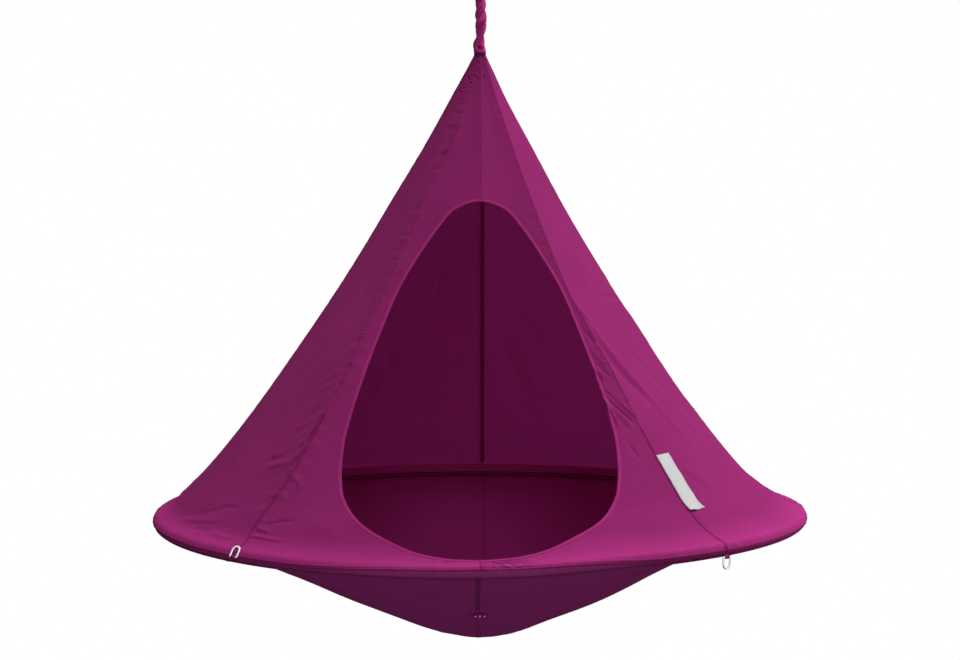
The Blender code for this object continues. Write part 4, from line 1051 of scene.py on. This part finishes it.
def canopy_gore(number, finish):
    """One gore from its stitched lap on the rim up to the neck; the front ones are cut by the door."""
    heights, door = gore_stations(number)
    first = GORE * number
    start = first + door * (number == 0)
    end = first + GORE + door * (number == 7)
    width = canopy_radius(start, heights) * np.radians(end - start)
    columns = across_gore(width, 81, 1.8) if number == 0 else across_gore(width)
    azimuth = start[:, None] + (end - start)[:, None] * columns
    tall = heights[:, None] + 0 * azimuth
    radius = canopy_radius(azimuth, tall)
    away = radius * np.radians(azimuth - first)
    sideways = radius * np.radians(azimuth - first - GORE / 2)
    room = np.minimum(SEAM_BAND, BAND_SHARE * radius * np.radians(GORE))
    felled = band(away, room)
    relief = canopy_relief(azimuth, tall) * limited((tall - 0.0135) / 0.0013)
    lowest = smooth_through(LAP_ANGLES, facing(azimuth[:1]))
    angles = lowest + (LEAVE_ANGLE - lowest) * np.linspace(0, 1, LAP_ROWS + 1)[:-1, None]
    lap_azimuth = azimuth[:1] + 0 * angles
    hem = LAP_RADIUS * np.radians(angles - lowest)
    fold = 0.0010 * limited((0.0085 - hem) / 0.0010)
    wobble = 0.0004 * wave(np.radians(lap_azimuth) * RING_RADIUS, 0.043)
    lap_rise = felled[:1] + fold + wobble + lip_wrinkles(lap_azimuth, hem)
    lap = rim_cloth(leaned(lap_azimuth, 0.0), angles, LAP_RADIUS + lap_rise)
    points = np.concatenate([lap, canopy_cloth(azimuth, tall, felled + relief)])
    upper_hem = LAP_RADIUS * np.radians(LEAVE_ANGLE - lowest) + seam_length(heights)[:, None]
    climb = np.concatenate([hem, upper_hem])
    radius, away, sideways, room = padded((radius, away, sideways, room), LAP_ROWS, 0)
    other = radius * np.radians(GORE) - away
    nearer = np.where(away < other, number, (number + 1) % 8)
    gathered = np.minimum(away, other) / DRAWN[nearer]
    grids = (sideways, climb, away, room, climb, gathered, nearer)
    return gore_piece("canopy", number, points, finish, grids)


def tether_pull(points):
    """Small waves that the tether loop pulls into the bowl, within a bell curve round it."""
    seat = np.array([0, -TETHER_OUT, bowl_height(np.array(TETHER_OUT)) + RING_PLANE])
    gap = (points - seat) / np.array([0.034, 0.016, 0.016])
    return 0.0022 * np.exp(-(gap**2).sum(-1)) * wave(points[..., 1] - seat[1], 0.030)


def bowl_gore(number, finish):
    """One gore of the bowl, from the middle out and up round the rim to its stitched lap."""
    radii = POLE + (1.004 * RING_RADIUS - POLE) * np.linspace(0, 1, 121) ** 1.15
    first = GORE * number
    azimuth = first + GORE * across_gore(radii * np.radians(GORE))
    radius = radii[:, None] + 0 * azimuth
    away = radius * np.radians(first + GORE - azimuth)
    other = radius * np.radians(azimuth - first)
    sideways = radius * np.radians(azimuth - first - GORE / 2)
    room = np.minimum(SEAM_BAND, BAND_SHARE * radius * np.radians(GORE))
    felled = 0.6 * band(away, room)
    slack = 0.0016 * np.sin(np.pi * np.mod(azimuth, GORE) / GORE) ** 2 * wave(radius, 0.36, 1.9 * number)
    seam = np.where(other < away, number, (number + 1) % 8)
    drawn = 0.00030 * puckers(radius, seam, np.minimum(away, other), radius, BOWL_PUCKERS)
    relief = slack + drawn + tether_pull(bowl_cloth(azimuth, radius))
    points = bowl_cloth(azimuth, radius, felled + relief * limited((RING_RADIUS - radius) / 0.03))
    angles = np.linspace(BOWL_LEAVE, BOWL_LAP, BOWL_LAP_ROWS + 1)[1:, None]
    hem = LAP_RADIUS * np.radians(BOWL_LAP - angles)
    fold = 0.0008 * limited((0.0075 - hem) / 0.0010)
    lap = rim_cloth(azimuth[-1:] + 0 * angles, angles, LAP_RADIUS + felled[-1:] + fold)
    points = np.concatenate([points, lap])
    run = lengths(bowl_cloth(0.0, radii), 0)[:, None]
    edge = run[-1] + hem[0] + LAP_RADIUS * np.radians(angles[0] - BOWL_LEAVE)
    climb = np.concatenate([run, edge - hem])
    away, other, sideways, room = padded((away, other, sideways, room), 0, BOWL_LAP_ROWS)
    nearer = np.where(other < away, number, number + 1)
    grids = (sideways, climb, away, room, edge - climb, np.minimum(away, other), nearer)
    return gore_piece("bowl", number, points, finish, grids)


def strip_maps(across, along):
    """The same places across and along a strip, for its weave and for its stitch rows."""
    return {"Cloth": (across, along), "Seam": (across, along)}


def rim_sleeve(finish):
    """The canvas tube round the ring: a circle carried round, with a lap seam along its inner side."""
    azimuth = 0.6 * np.arange(600)[:, None]
    angles = np.linspace(0, 360, 41)[:-1][None]
    run = np.radians(azimuth) * RING_RADIUS
    lap = limited(1 - np.abs(angles - 180) / 22)
    pinch = 0.0003 * wave(run, 0.031) + 0.0002 * wave(run, 0.0187)
    radius = SLEEVE_OUTER + 0.0012 * np.sqrt(lap) + pinch * bell(angles - 180, 40)
    points = rim_cloth(azimuth, angles, radius)
    section = np.radians(np.append(angles, 360))[None] * SLEEVE_OUTER
    maps = strip_maps(section, np.append(run, 2 * np.pi * RING_RADIUS)[:, None])
    how = {"around": True, "along": True, "flip": True, "thick": 0.0010}
    return surface("rim_canvas", points, finish, "tent", ["rim_sleeve"], maps, **how)


def ring_tubes(finish):
    """Four bent tubes butted end to end, with a joiner pushed into each pair of ends."""
    reach = math.degrees(JOINER_LENGTH / 2 / RING_RADIUS)
    for number in range(4):
        joint = FIRST_JOINT + 90 * number
        sets = (
            ("ring_pipe_", "ring_tube_", joint + 0.02, joint + 89.98, TUBE_RADIUS, TUBE_WALL, 91),
            ("ring_spigot_", "ring_joiner_", joint - reach, joint + reach, JOINER_RADIUS, JOINER_WALL, 13),
        )
        for title, node, start, end, radius, wall, steps in sets:
            azimuth = np.linspace(start, end, steps)[:, None]
            points = rim_cloth(azimuth, np.arange(0, 360, 15)[None], radius)
            how = {"around": True, "flip": True, "thick": wall, "slot": "aluminium"}
            surface(f"{title}{number + 1}", points, finish, "tent", [f"{node}{number + 1}"], **how)


def door_binding(finish):
    """A bias strip folded over the door's cut edge, with a round bead on its free edge."""
    azimuth, height = door_line(170, 1)
    left, low = door_line(170, -1)
    azimuth = np.concatenate([azimuth, left[-2:0:-1]])
    height = np.concatenate([height, low[-2:0:-1]])
    relief = canopy_relief(azimuth, height) * limited((height - 0.0135) / 0.006)
    edge = canopy_cloth(azimuth, height, relief - CANVAS / 2)
    normal = unit(canopy_cloth(azimuth, height, relief + 0.001) - edge)
    inward = unit(np.cross(normal, np.roll(edge, -1, 0) - np.roll(edge, 1, 0)))
    run = lengths(np.concatenate([edge, edge[:1]]), 0)
    half = np.array(BINDING_OUTLINE)
    outline = 0.001 * np.concatenate([half, half[-2::-1] * (1, -1)])
    ripple = 1 + 0.05 * wave(run[:-1], 0.019) + 0.05 * wave(run[:-1], 0.031)
    points = edge[:, None] + outline[None, :, :1] * inward[:, None]
    points = points + outline[None, :, 1:] * (ripple[:, None] * normal)[:, None]
    section = lengths(np.concatenate([outline, outline[:1]]), 0)
    maps = strip_maps(section[None], run[:, None])
    return surface("door_bias_band", points, finish, "tent", ["door_binding"], maps, **LOOP)


def seam_tape(number, finish):
    """A twill tape on the inside of a seam, folded to the seam's angle."""
    name = SEAM_NAMES[number]
    low = DOOR_TOP + 0.006 if name == "front" else 0.024
    heights = np.linspace(low, CANOPY_TOP - 0.001, 150)
    climb = (heights - SEAT_ON_SLEEVE) / (NECK_HEIGHT - SEAT_ON_SLEEVE)
    radius = canopy_radius(0.0, heights)
    across = np.linspace(-1, 1, 9)
    offset = np.minimum(0.0050 - 0.0022 * climb**4, 0.3 * radius)[:, None] * across
    azimuth = GORE * number + np.degrees(offset / radius[:, None])
    tall = heights[:, None] + 0 * azimuth
    depth = CANVAS + 0.0013 - 0.0003 * across**4
    points = canopy_cloth(azimuth, tall, canopy_relief(azimuth, tall) - depth)
    maps = strip_maps(offset, seam_length(heights)[:, None])
    how = {"flip": True, "thick": 0.0009, "slot": "seam_tape"}
    return surface("twill_" + name, points, finish, "tent", ["seam_tape_" + name], maps, **how)


def side_label(finish):
    """A blank woven strip beside the right front seam; its lower end has come loose and curls.

    The curl is a sine across the strip that dies away upwards from the loose end.
    """
    heights = np.linspace(LABEL_HIGH, LABEL_LOW, 71)[:, None]
    across = np.linspace(0, 1, 17)[None]
    azimuth = GORE + np.degrees((0.002 + LABEL_WIDTH * across) / canopy_radius(GORE, heights))
    tall = heights + 0 * azimuth
    run = seam_length(LABEL_HIGH) - seam_length(tall)
    curl = 0.0016 + 0.0030 * wave(0.95 * across + 0.12, 1)
    lift = np.exp((run - run[-1:]) / 0.011) * curl + 0.0004 * wave(run, 0.046) * across
    points = canopy_cloth(azimuth, tall, canopy_relief(azimuth, tall) + 0.0022 + np.maximum(lift, -0.0008))
    maps = strip_maps(np.broadcast_to(LABEL_WIDTH * across, azimuth.shape), run)
    how = {"flip": True, "thick": 0.0008, "slot": "label_cloth"}
    return surface("woven_strip", points, finish, "tent", ["side_label"], maps, **how)


def strap(name, path, across, width, finish, stands_for):
    """Webbing carried along a path: a circle drawn out to a flat band with rounded selvedges."""
    turn = np.linspace(0, 2 * np.pi, 25)[:-1]
    flat = np.sign(np.cos(turn)) * np.abs(np.cos(turn)) ** 0.5
    thick = np.sign(np.sin(turn)) * np.abs(np.sin(turn)) ** 0.7
    outline = np.stack([flat * width / 2, thick * WEBBING_HALF], 1)
    grid = capped(carried(eased(path, 4), outline, across))
    return surface(name, grid, finish, "tent", stands_for, **TUBE)


def tether_loop(finish, thread):
    """A short loop of webbing low on the bowl's front seam, held by three bar tacks across it."""
    run = 2 * TETHER_TAIL + TETHER_LOOP
    rise = bowl_height(np.array([TETHER_OUT + run / 2, TETHER_OUT - run / 2]))
    slope = float(rise[0] - rise[1]) / run
    flat = np.array([0, -1, slope]) / math.hypot(1, slope)
    out = np.array([0, -slope, -1]) / math.hypot(1, slope)
    seat = around(0.0, TETHER_OUT, float(bowl_height(np.array(TETHER_OUT)))) + out * 0.0022
    bend = sweep(0, 180, 9)
    loop = np.stack([-np.cos(bend) * TETHER_LOOP / 2, np.sin(bend) * TETHER_RISE], 1)
    line = np.concatenate([[[-run / 2, 0]], loop, [[run / 2, 0]]])
    path = seat + line[:, :1] * flat + line[:, 1:] * out
    strap("tether_webbing", path, (1, 0, 0), TETHER_WIDTH, finish, ["tether_loop"])
    crown = seat + flat * (TETHER_LOOP / 2 + 0.0004) + out * TETHER_RISE * 0.45
    for place, side, plump in BAR_TACKS:
        line = crown + np.array([side, 0, 0]) + np.cos(bend)[:, None] * np.array([TACK_HALF, 0, 0])
        outline = circle(0.0002 + plump * np.sin(bend), 12) * np.array([1.0, 0.75])
        surface(f"bar_tack_{place}", capped(carried(line, outline, (0, 0, 1))), thread, "tent", **TUBE)


def hook_frame(azimuth):
    """The bar's middle, the way along the hem and the way out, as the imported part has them.

    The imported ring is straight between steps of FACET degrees, and the bar lies along one of these sides.
    """
    middle = FACET * (math.floor(azimuth / FACET) + 0.5)
    turn = math.radians(middle)
    out = np.array([math.sin(turn), -math.cos(turn), 0])
    along = np.array([math.cos(turn), math.sin(turn), 0])
    inner = RING_RADIUS * math.cos(math.radians(FACET / 2))
    aside = inner * math.tan(math.radians(azimuth - middle))
    return around(middle, inner + HOOK_OFF_RING, 0.0) + aside * along, along, out


def hook_ring(side, azimuth, turn, finish):
    """A closed D of round wire: a straight bar, small corners and a half-circle bow."""
    bar, along, out = hook_frame(azimuth)
    swing = math.radians(turn)
    drop = math.sin(swing) * out - math.cos(swing) * UP
    half = HOOK_WIDTH / 2
    bow = sweep(0, 180, 25)
    corner = sweep(0, 90, 7)
    flank = half - HOOK_CORNER + HOOK_CORNER * np.sin(corner)
    depth = HOOK_CORNER * (1 - np.cos(corner))
    leg = np.linspace(0, 1, 5)[1:-1]
    reach = HOOK_CORNER + (HOOK_DROP - half - HOOK_CORNER) * leg
    bar_line = np.linspace(-1, 1, 7)[1:-1] * (half - HOOK_CORNER)
    sideways = [flank, half + 0 * leg, half * np.cos(bow), -half + 0 * leg, -flank[::-1], bar_line]
    down = [depth, reach, HOOK_DROP - half + half * np.sin(bow), reach[::-1], depth[::-1], 0 * bar_line]
    route = bar + np.concatenate(sideways)[:, None] * along + np.concatenate(down)[:, None] * drop
    grid = carried(route, circle(HOOK_WIRE, 20), np.cross(along, drop), loop=True)
    node = [f"hook_ring_{side}"]
    return surface(f"d_ring_{side}", grid, finish, f"hook_{side}", node, slot="steel", **LOOP)


def hook_tab(side, azimuth, finish):
    """Webbing folded round the D-ring's bar, both tails stitched to the rim where it is drawn up."""
    bar, along, out = hook_frame(azimuth)
    rise = 0.001 * float(smooth_through(RING_RISE, float(azimuth)))
    low_angle = np.radians(np.linspace(-38, -12, 5) - 2600 * rise)
    high_angle = np.radians(np.linspace(14, 52, 6) - 1800 * rise)
    tails = []
    for angle, radius in ((low_angle, 0.0160), (high_angle, 0.0178)):
        tails.append(radius * spokes(angle) + (-HOOK_OFF_RING, rise))
    wrap = (HOOK_WIRE + 0.0010) * spokes(sweep(-140, 140, 11))
    line = np.concatenate([tails[0], wrap, tails[1]])
    path = bar + line[:, :1] * out + line[:, 1:] * UP
    return strap(f"webbing_tab_{side}", path, along, TAB_WIDTH, finish, [f"hook_tab_{side}"])


def strand(heights, phase):
    """One strand of the doubled rope: a helix that ends in the thimble's plane at the throat."""
    angle = 2 * math.pi * (heights - THROAT_HEIGHT) / ROPE_LAY + math.pi / 2 + phase
    return points_of(PAIR_RADIUS * np.cos(angle), PAIR_RADIUS * np.sin(angle), heights + RING_PLANE)


def rope_eye(steps):
    """The bend of the rope and its thimble: an arc of a circle in the plane x = 0."""
    bend = sweep(-25, 205, steps)
    return points_of(0.0, EYE_RADIUS * np.cos(bend), EYE_CENTRE + EYE_RADIUS * np.sin(bend))


def hanging_rope(finish):
    """Up one strand, round the thimble and down the other; both feet go into the stopper knot."""
    heights = np.linspace(ROPE_FOOT, THROAT_HEIGHT, 96)
    route = np.concatenate([strand(heights, 0), rope_eye(53), strand(heights, math.pi)[::-1]])
    grid = capped(carried(route, circle(ROPE_RADIUS, 20), (1, 0, 0)))
    run = lengths(route, 0)
    turn = 2 * np.pi * ROPE_RADIUS * np.linspace(0, 1, 21)[None]
    maps = {"Cloth": (turn, np.concatenate([run[:1], run, run[-1:]])[:, None])}
    piece = surface("rope_line", grid, finish, "rope", ["hanging_rope"], maps, "rope", **TUBE)
    return piece, route, float(run[-1])


def stopper_knot(finish):
    """The same rope in a tight overhand knot: three loops wound round a ring."""
    t = np.linspace(0, 2 * math.pi, 181)[:-1]
    out = KNOT_RADIUS + KNOT_COIL * np.cos(3 * t)
    z = KNOT_COIL_TALL * np.sin(3 * t) + KNOT_HEIGHT + RING_PLANE
    route = points_of(out * np.cos(2 * t), out * np.sin(2 * t), z)
    away = points_of(np.cos(3 * t) * np.cos(2 * t), np.cos(3 * t) * np.sin(2 * t), np.sin(3 * t))
    grid = carried(route, circle(ROPE_RADIUS, 16), away, loop=True)
    run = lengths(np.concatenate([route, route[:1]]), 0)[:, None]
    maps = {"Cloth": (2 * np.pi * ROPE_RADIUS * np.linspace(0, 1, 17)[None], run)}
    return surface("rope_knot", grid, finish, "rope", ["stopper_knot"], maps, "rope", **LOOP)


def rope_sheath(finish):
    """A loose canvas sleeve twisted with the rope, on a wavering middle.

    The radius is the middle one times a wave of two lobes, two waves of finer spiral creases and the
    gathers at the foot. A dent at the front takes the hole rubbed through, and the upper edge is slanting.
    """
    low, high = SHEATH_SHAPE[0][0], SHEATH_SHAPE[-1][0]
    heights = np.concatenate([np.linspace(low, 1.10, 65)[:-1], np.linspace(1.10, high, 100)])
    knots = np.array(SHEATH_SHAPE)
    middle = 0.001 * smooth_through(knots[:, :2], heights)[:, None]
    shift = 0.001 * np.interp(heights, knots[:, 0], knots[:, 2])
    shift = np.convolve(np.pad(shift, 6, mode="edge"), np.ones(13) / 13, mode="valid")[:, None]
    turn = np.linspace(0, 2 * np.pi, 73)[:-1][None]
    tall = heights[:, None]
    twist = 2 * np.pi * (tall - THROAT_HEIGHT) / ROPE_LAY + np.pi / 2
    lobe = 0.13 * np.cos(2 * (turn - twist))
    crease = 0.09 * np.sin(5 * turn - 3.0 * twist + 1.2) + 0.06 * np.sin(9 * turn - 4.2 * twist)
    gathers = 0.04 * np.sin(14 * turn + 40 * tall) * np.exp(-(tall - low) / 0.006)
    radius = middle * (1 + (lobe + crease) * np.clip((tall - 1.0665) / 0.009, 0.1, 1) + gathers)
    front = radius * np.sin(turn) < 0
    dent = bell(shift + radius * np.cos(turn) + 0.0005, 0.0050) * bell(tall - 1.0765, 0.0052) * front
    radius = radius - dent * np.maximum(radius - 0.0074, 0)
    slant = limited((tall - 1.15) / 0.045)
    z = tall + RING_PLANE - 0.0165 * slant * (0.5 + 0.5 * np.cos(turn + 0.5)) ** 2
    points = points_of(shift + radius * np.cos(turn), radius * np.sin(turn), z)
    closed = np.concatenate([points, points[:, :1]], 1)
    across = np.where(closed[..., 1] < 0, (closed[..., 0] - 0.0004) / HOLE_HALF_WIDTH, 5.0)
    up = (closed[..., 2] - RING_PLANE - HOLE_HEIGHT) / HOLE_HALF_HEIGHT
    edge = closed[-1:, :, 2] - closed[..., 2]
    maps = {"Hole": (across, up), "Seam": (edge - 0.004, lengths(closed, 1))}
    how = {"around": True, "thick": 0.0007}
    return surface("twisted_sheath", points, finish, "rope", ["rope_sheath"], maps, **how)


def neck_tie(finish):
    """Twisted cord of three plies wound twice round the gathered neck, its ends tucked under."""
    turn = np.linspace(0, 4 * math.pi, 241)
    radius = NECK_RADIUS - 0.0004 + TIE_RADIUS
    z = TIE_HEIGHT + RING_PLANE + TIE_PITCH * (turn / (2 * math.pi) - 1)
    route = points_of(radius * np.cos(turn), radius * np.sin(turn), z)
    sides = 2 * np.pi * np.arange(14) / 14
    ply = 1 + 0.16 * np.cos(3 * (sides[None] - 2 * np.pi * lengths(route, 0)[:, None] / 0.0065))
    grid = capped(carried(route, circle(TIE_RADIUS, 14) * ply[..., None], (0, 0, 1)))
    return surface("neck_cord", grid, finish, "tent", ["neck_tie"], **TUBE)


def thimble(finish):
    """A channel round the rope's eye, open outwards, with a rolled lip on both sides."""
    crown = rope_eye(47)
    throat = np.array([0, PAIR_RADIUS, THROAT])
    first = throat + (crown[0] - throat) * np.linspace(0, 1, 7)[:-1, None]
    line = np.concatenate([first, crown, first[::-1] * (1, -1, 1)])
    line = line[line[:, 2] > THROAT + 0.008]
    inner = ROPE_RADIUS + 0.0003
    outer = inner + THIMBLE_WALL
    roll = THIMBLE_WALL / 2
    arc = spokes(sweep(-90, 90, 17))
    back = -0.7 * roll
    lip = np.array([[back, inner + 0.3 * roll], [-roll, inner + roll], [back, outer - 0.3 * roll]])
    section = np.concatenate([inner * arc, lip, outer * arc[::-1], lip[::-1] * (1, -1)])
    inward = np.cross(np.array([1.0, 0, 0]), unit(np.gradient(line, axis=0)))
    grid = capped(carried(line, section, inward))
    return surface("eye_thimble", grid, finish, "rope", ["thimble"], slot="steel", **TUBE)


def karabiner_body(finish):
    """An oval of round bar from the nose over the top to the gate's foot; both ends are flattened."""
    half = KARABINER_HALF_WIDTH
    top, low = KARABINER_TOP - half, KARABINER_FOOT + half
    bend = sweep(0, 180, 37)
    path = np.concatenate([
        points_of(half, 0.0, np.linspace(PIN_HEIGHT + GATE_LENGTH - 0.0062, top, 20)[:-1]),
        points_of(half * np.cos(bend), 0.0, top + half * np.sin(bend)),
        points_of(-half, 0.0, np.linspace(top, low, 24)[1:-1]),
        points_of(-half * np.cos(bend), 0.0, low - half * np.sin(bend)),
        points_of(half, 0.0, np.linspace(low, PIN_HEIGHT + 0.0030, 9)[1:]),
    ])
    run = lengths(path, 0)
    from_end = run[-1] - run
    narrow = limited((run - 0.0100) / 0.0035)
    narrow_end = limited((from_end - 0.0080) / 0.0030)
    wide = np.minimum(0.0037 + 0.0013 * narrow, 0.0040 + 0.0010 * narrow_end)
    deep = np.minimum(0.0018 + 0.0032 * narrow, 0.0020 + 0.0030 * narrow_end)
    rounding = np.sqrt(np.clip(np.minimum(run, from_end) / 0.0016, 0.02, 1))
    outline = circle(1.0, 28) * np.stack([wide * rounding, deep * rounding], 1)[:, None]
    inward = np.cross(np.array([0, 1.0, 0]), np.gradient(path, axis=0))
    grid = capped(carried(path, outline, inward))
    return surface("karabiner_bow", grid, finish, "karabiner", ["karabiner_body"], slot="steel", **TUBE)


def lock_sleeve(finish):
    """The screw sleeve: a turned tube with 24 straight grooves outside, smooth at both rims."""
    low, high = LOCK_ABOVE_PIN, LOCK_ABOVE_PIN + LOCK_LENGTH
    bore = GATE_RADIUS + 0.0003
    edge = 0.0012
    outer = [(LOCK_RADIUS, z) for z in np.linspace(low + edge, high - edge, 25)]
    profile = [(bore, low), (LOCK_RADIUS - edge, low), *outer, (LOCK_RADIUS - edge, high), (bore, high)]
    grid = turned(profile, (KARABINER_HALF_WIDTH, 0, PIN_HEIGHT), 96)
    centre = np.array([KARABINER_HALF_WIDTH, 0])
    spoke = grid[..., :2] - centre
    reach = np.linalg.norm(spoke, axis=-1)
    turn = np.arctan2(spoke[..., 1], spoke[..., 0])
    place = (grid[..., 2] - PIN_HEIGHT - low) / LOCK_LENGTH
    grip = limited(np.minimum(place - 0.14, 0.86 - place) / 0.04) * (reach > LOCK_RADIUS - 0.0005)
    cut = 0.00045 * grip * limited(0.5 + 1.2 * np.cos(24 * turn))
    grid[..., :2] = centre + spoke * ((reach - cut) / reach)[..., None]
    return surface("lock_barrel", grid, finish, "lock", ["lock_sleeve"], slot="steel", **LOOP)


def staple_eye(finish):
    """A U of round bar, with a small weld bead where each leg meets the plate."""
    bend = sweep(0, -180, 37)
    height = STAPLE_BAR + STAPLE_HALF_WIDTH
    bow = points_of(0.0, STAPLE_HALF_WIDTH * np.cos(bend), height + STAPLE_HALF_WIDTH * np.sin(bend))
    leg = points_of(0.0, STAPLE_HALF_WIDTH, np.linspace(-PLATE_THICK - 0.0002, height, 16)[:-1])
    path = np.concatenate([leg, bow, leg[::-1] * (1, -1, 1)])
    run = lengths(path, 0)
    bead = STAPLE_WIRE + 0.0016 * np.sqrt(limited(1 - np.minimum(run, run[-1] - run) / 0.0030))
    grid = capped(carried(path, circle(bead, 28), (1, 0, 0)))
    return surface("staple_bow", grid, finish, "ceiling", ["staple_eye"], slot="steel", **TUBE)


def screw_heads(finish):
    """Pan heads with a cross recess: the crown is a shallow dome, pressed in along two crossed slots."""
    under = -PLATE_THICK - 0.0003
    share = np.linspace(0, 1, 25)
    head = list(zip(SCREW_HEAD * share, under - 0.0028 * np.sqrt(limited(1 - share**2.6))))
    shank = [(SCREW_SHANK, under), (SCREW_SHANK, 0.0245), (0.0, 0.030)]
    for number in range(4):
        turn = math.radians(90 * (number + 0.5))
        centre = (SCREW_OUT * math.cos(turn), SCREW_OUT * math.sin(turn), 0)
        grid = turned([*head, *shank], centre, 64)
        offset = grid[..., :2] - np.array(centre[:2])
        slot = limited((0.00055 - np.abs(offset).min(-1)) / 0.0003)
        slot = slot * limited((0.0027 - np.linalg.norm(offset, axis=-1)) / 0.0004)
        grid[..., 2] += 0.0014 * slot * (grid[..., 2] < under - 0.0005)
        node = [f"plate_screw_{number + 1}"]
        surface(f"pan_screw_{number + 1}", grid, finish, "ceiling", node, slot="steel", **TUBE)


def refinish(node, finish):
    """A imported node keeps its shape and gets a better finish."""
    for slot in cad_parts[node].material_slots:
        slot.material = finish.material


class Surround(Finish):
    """The world, whose background takes the shader's place."""

    def __init__(self):
        world = bpy.data.worlds.new("surround")
        bpy.context.scene.world = world
        world.use_nodes = True
        self.tree = world.node_tree
        self.shader = self.tree.nodes["Background"]
        self.shader.inputs["Color"].default_value = (1, 1, 1, 1)


def studio():
    """Three soft lamps, and a surround that looks white, also in reflections, but gives little light."""
    surround = Surround()
    seen = surround.node("LightPath", out="Is Camera Ray")
    for ray in ("Is Glossy Ray", "Is Transmission Ray"):
        seen = seen.math("MAXIMUM", seen, surround.node("LightPath", out=ray))
    surround.feed("Strength", surround.node("MapRange", sockets={"Value": seen, "To Min": SURROUND_LIGHT}))
    for name, place, size, power in LIGHTS:
        data = bpy.data.lights.new(name, "AREA")
        data.shape = "DISK"
        data.size = size
        data.energy = power
        lamp = bpy.data.objects.new(name, data)
        lamp.location = place
        lamp.rotation_euler = (Vector(LIT_PLACE) - Vector(place)).to_track_quat("-Z", "Y").to_euler()
        bpy.context.scene.collection.objects.link(lamp)


def pale_floor():
    """A round pale floor that fades out towards its edge, and is not there for a camera under it."""
    finish = Finish("pale_floor", {"Roughness": 0.9, "Emission Strength": 1.0})
    place = finish.place()
    finish.feed("Base Color", finish.shaded(FLOOR_GREY, 0.985 + 0.03 * finish.noise(place, 3.0, 2.0)))
    finish.feed("Emission Color", finish.shaded(FLOOR_GLOW, finish.node("LightPath", out="Is Camera Ray")))
    x, y = finish.split(place)[:2]
    from_above = finish.split(finish.node("NewGeometry", out="Incoming"))[2] > 0.0
    finish.feed("Alpha", (1 - ((x * x + y * y) ** 0.5 - 1.9) / 0.9).positive() * from_above)
    mesh = bpy.data.meshes.new("floor")
    shape = bmesh.new()
    bmesh.ops.create_circle(shape, cap_ends=True, radius=2.85, segments=64)
    bmesh.ops.translate(shape, verts=shape.verts, vec=(0, 0, RING_PLANE - 1.05))
    shape.to_mesh(mesh)
    shape.free()
    mesh.materials.append(finish.material)
    floor = bpy.data.objects.new("floor", mesh)
    bpy.context.scene.collection.objects.link(floor)


def dressed_rope():
    """The rope and its knot."""
    red_braid = rope_finish()
    rope, route, rope_length = hanging_rope(red_braid)
    knot = stopper_knot(red_braid)


def toned(colour, share):
    return tuple(share * part for part in colour)


def dressed_tent():
    """All the sewn pieces, the ring inside them and the two D-rings."""
    rows = {"seam_rows": (0.0018, 0.0072), "hem_rows": (0.0035,)}
    # The canopy's canvas gets painted shade on its seam bands and lip strokes, and a painted highlight near
    # the hem.
    extra = {"creased": 1.0, "through": 0.24, "hem_highlight": 0.42, "banded": 0.12, "wrinkled": 1.0}
    sewn = canvas_finish("canopy_canvas", PLUM, **rows, **extra)
    # The seat's paler plum is painted light, and its seam bands get painted shade.
    seat = canvas_finish("seat_canvas", LIT_SEAT_PLUM, **rows, creased=0.5, through=0.10, banded=0.28)
    # The binding's plum is the canopy's made 1.5 times paler: painted highlight on the bead.
    bound = canvas_finish("binding_canvas", toned(PLUM, 1.5), seam_rows=(0.0062, 0.0122))
    # The sleeve's paler plum is painted light, and the dark line on its inner side is a painted shadow.
    sleeve = canvas_finish("sleeve_canvas", LIT_SLEEVE_PLUM, seam_rows=(0.0420,), crevice=0.0500)
    twill = canvas_finish("twill_tape", toned(PLUM, 1.3), seam_rows=(-0.0036, 0.0036), through=0.5)
    webbing = canvas_finish("webbing", PLUM)
    # The bar tacks' thread is given an emission, so that it glows: a painted highlight, for the light that
    # the thread catches.
    glowing_pink = {"Base Color": (0.95, 0.12, 0.55, 1), "Roughness": 0.5, "Emission Color": (0.9, 0.10, 0.5, 1)}
    nickel = metal_finish("nickelled_wire", NICKEL, 0.22, (300, 300, 300), 0.08)
    for number in range(8):
        canopy_gore(number, sewn)
        bowl_gore(number, seat)
        seam_tape(number, twill)
    rim_sleeve(sleeve)
    ring_tubes(metal_finish("drawn_aluminium", ALUMINIUM, 0.34, (500, 500, 500)))
    door_binding(bound)
    side_label(label_finish())
    tether_loop(seat, Finish("pink_thread", {**glowing_pink, "Emission Strength": 0.40}))
    hook_ring("right", HOOK_AZIMUTH, 0, nickel)
    hook_ring("left", -HOOK_AZIMUTH, LEFT_HOOK_TURN, nickel)
    hook_tab("right", HOOK_AZIMUTH, webbing)
    hook_tab("left", -HOOK_AZIMUTH, webbing)
    # The sheath's plum is the canopy's doubled: painted light on the upright sleeve that the lamps hardly
    # reach.
    rope_sheath(sheath_finish(toned(PLUM, 2.0)))
    neck_tie(webbing)
    refinish("apex_collar", wood_finish())
    refinish("gate_pin", nickel)


def dressed_fittings():
    """The metal between the rope and the ceiling."""
    steel = metal_finish("bright_steel", STEEL, 0.26, (40, 40, 900))
    for piece in (thimble, karabiner_body, lock_sleeve, staple_eye, screw_heads):
        piece(steel)
    refinish("karabiner_gate", steel)
    refinish("ceiling_plate", plate_finish())


studio_camera()
dressed_rope()
dressed_tent()
dressed_fittings()
studio()
pale_floor()
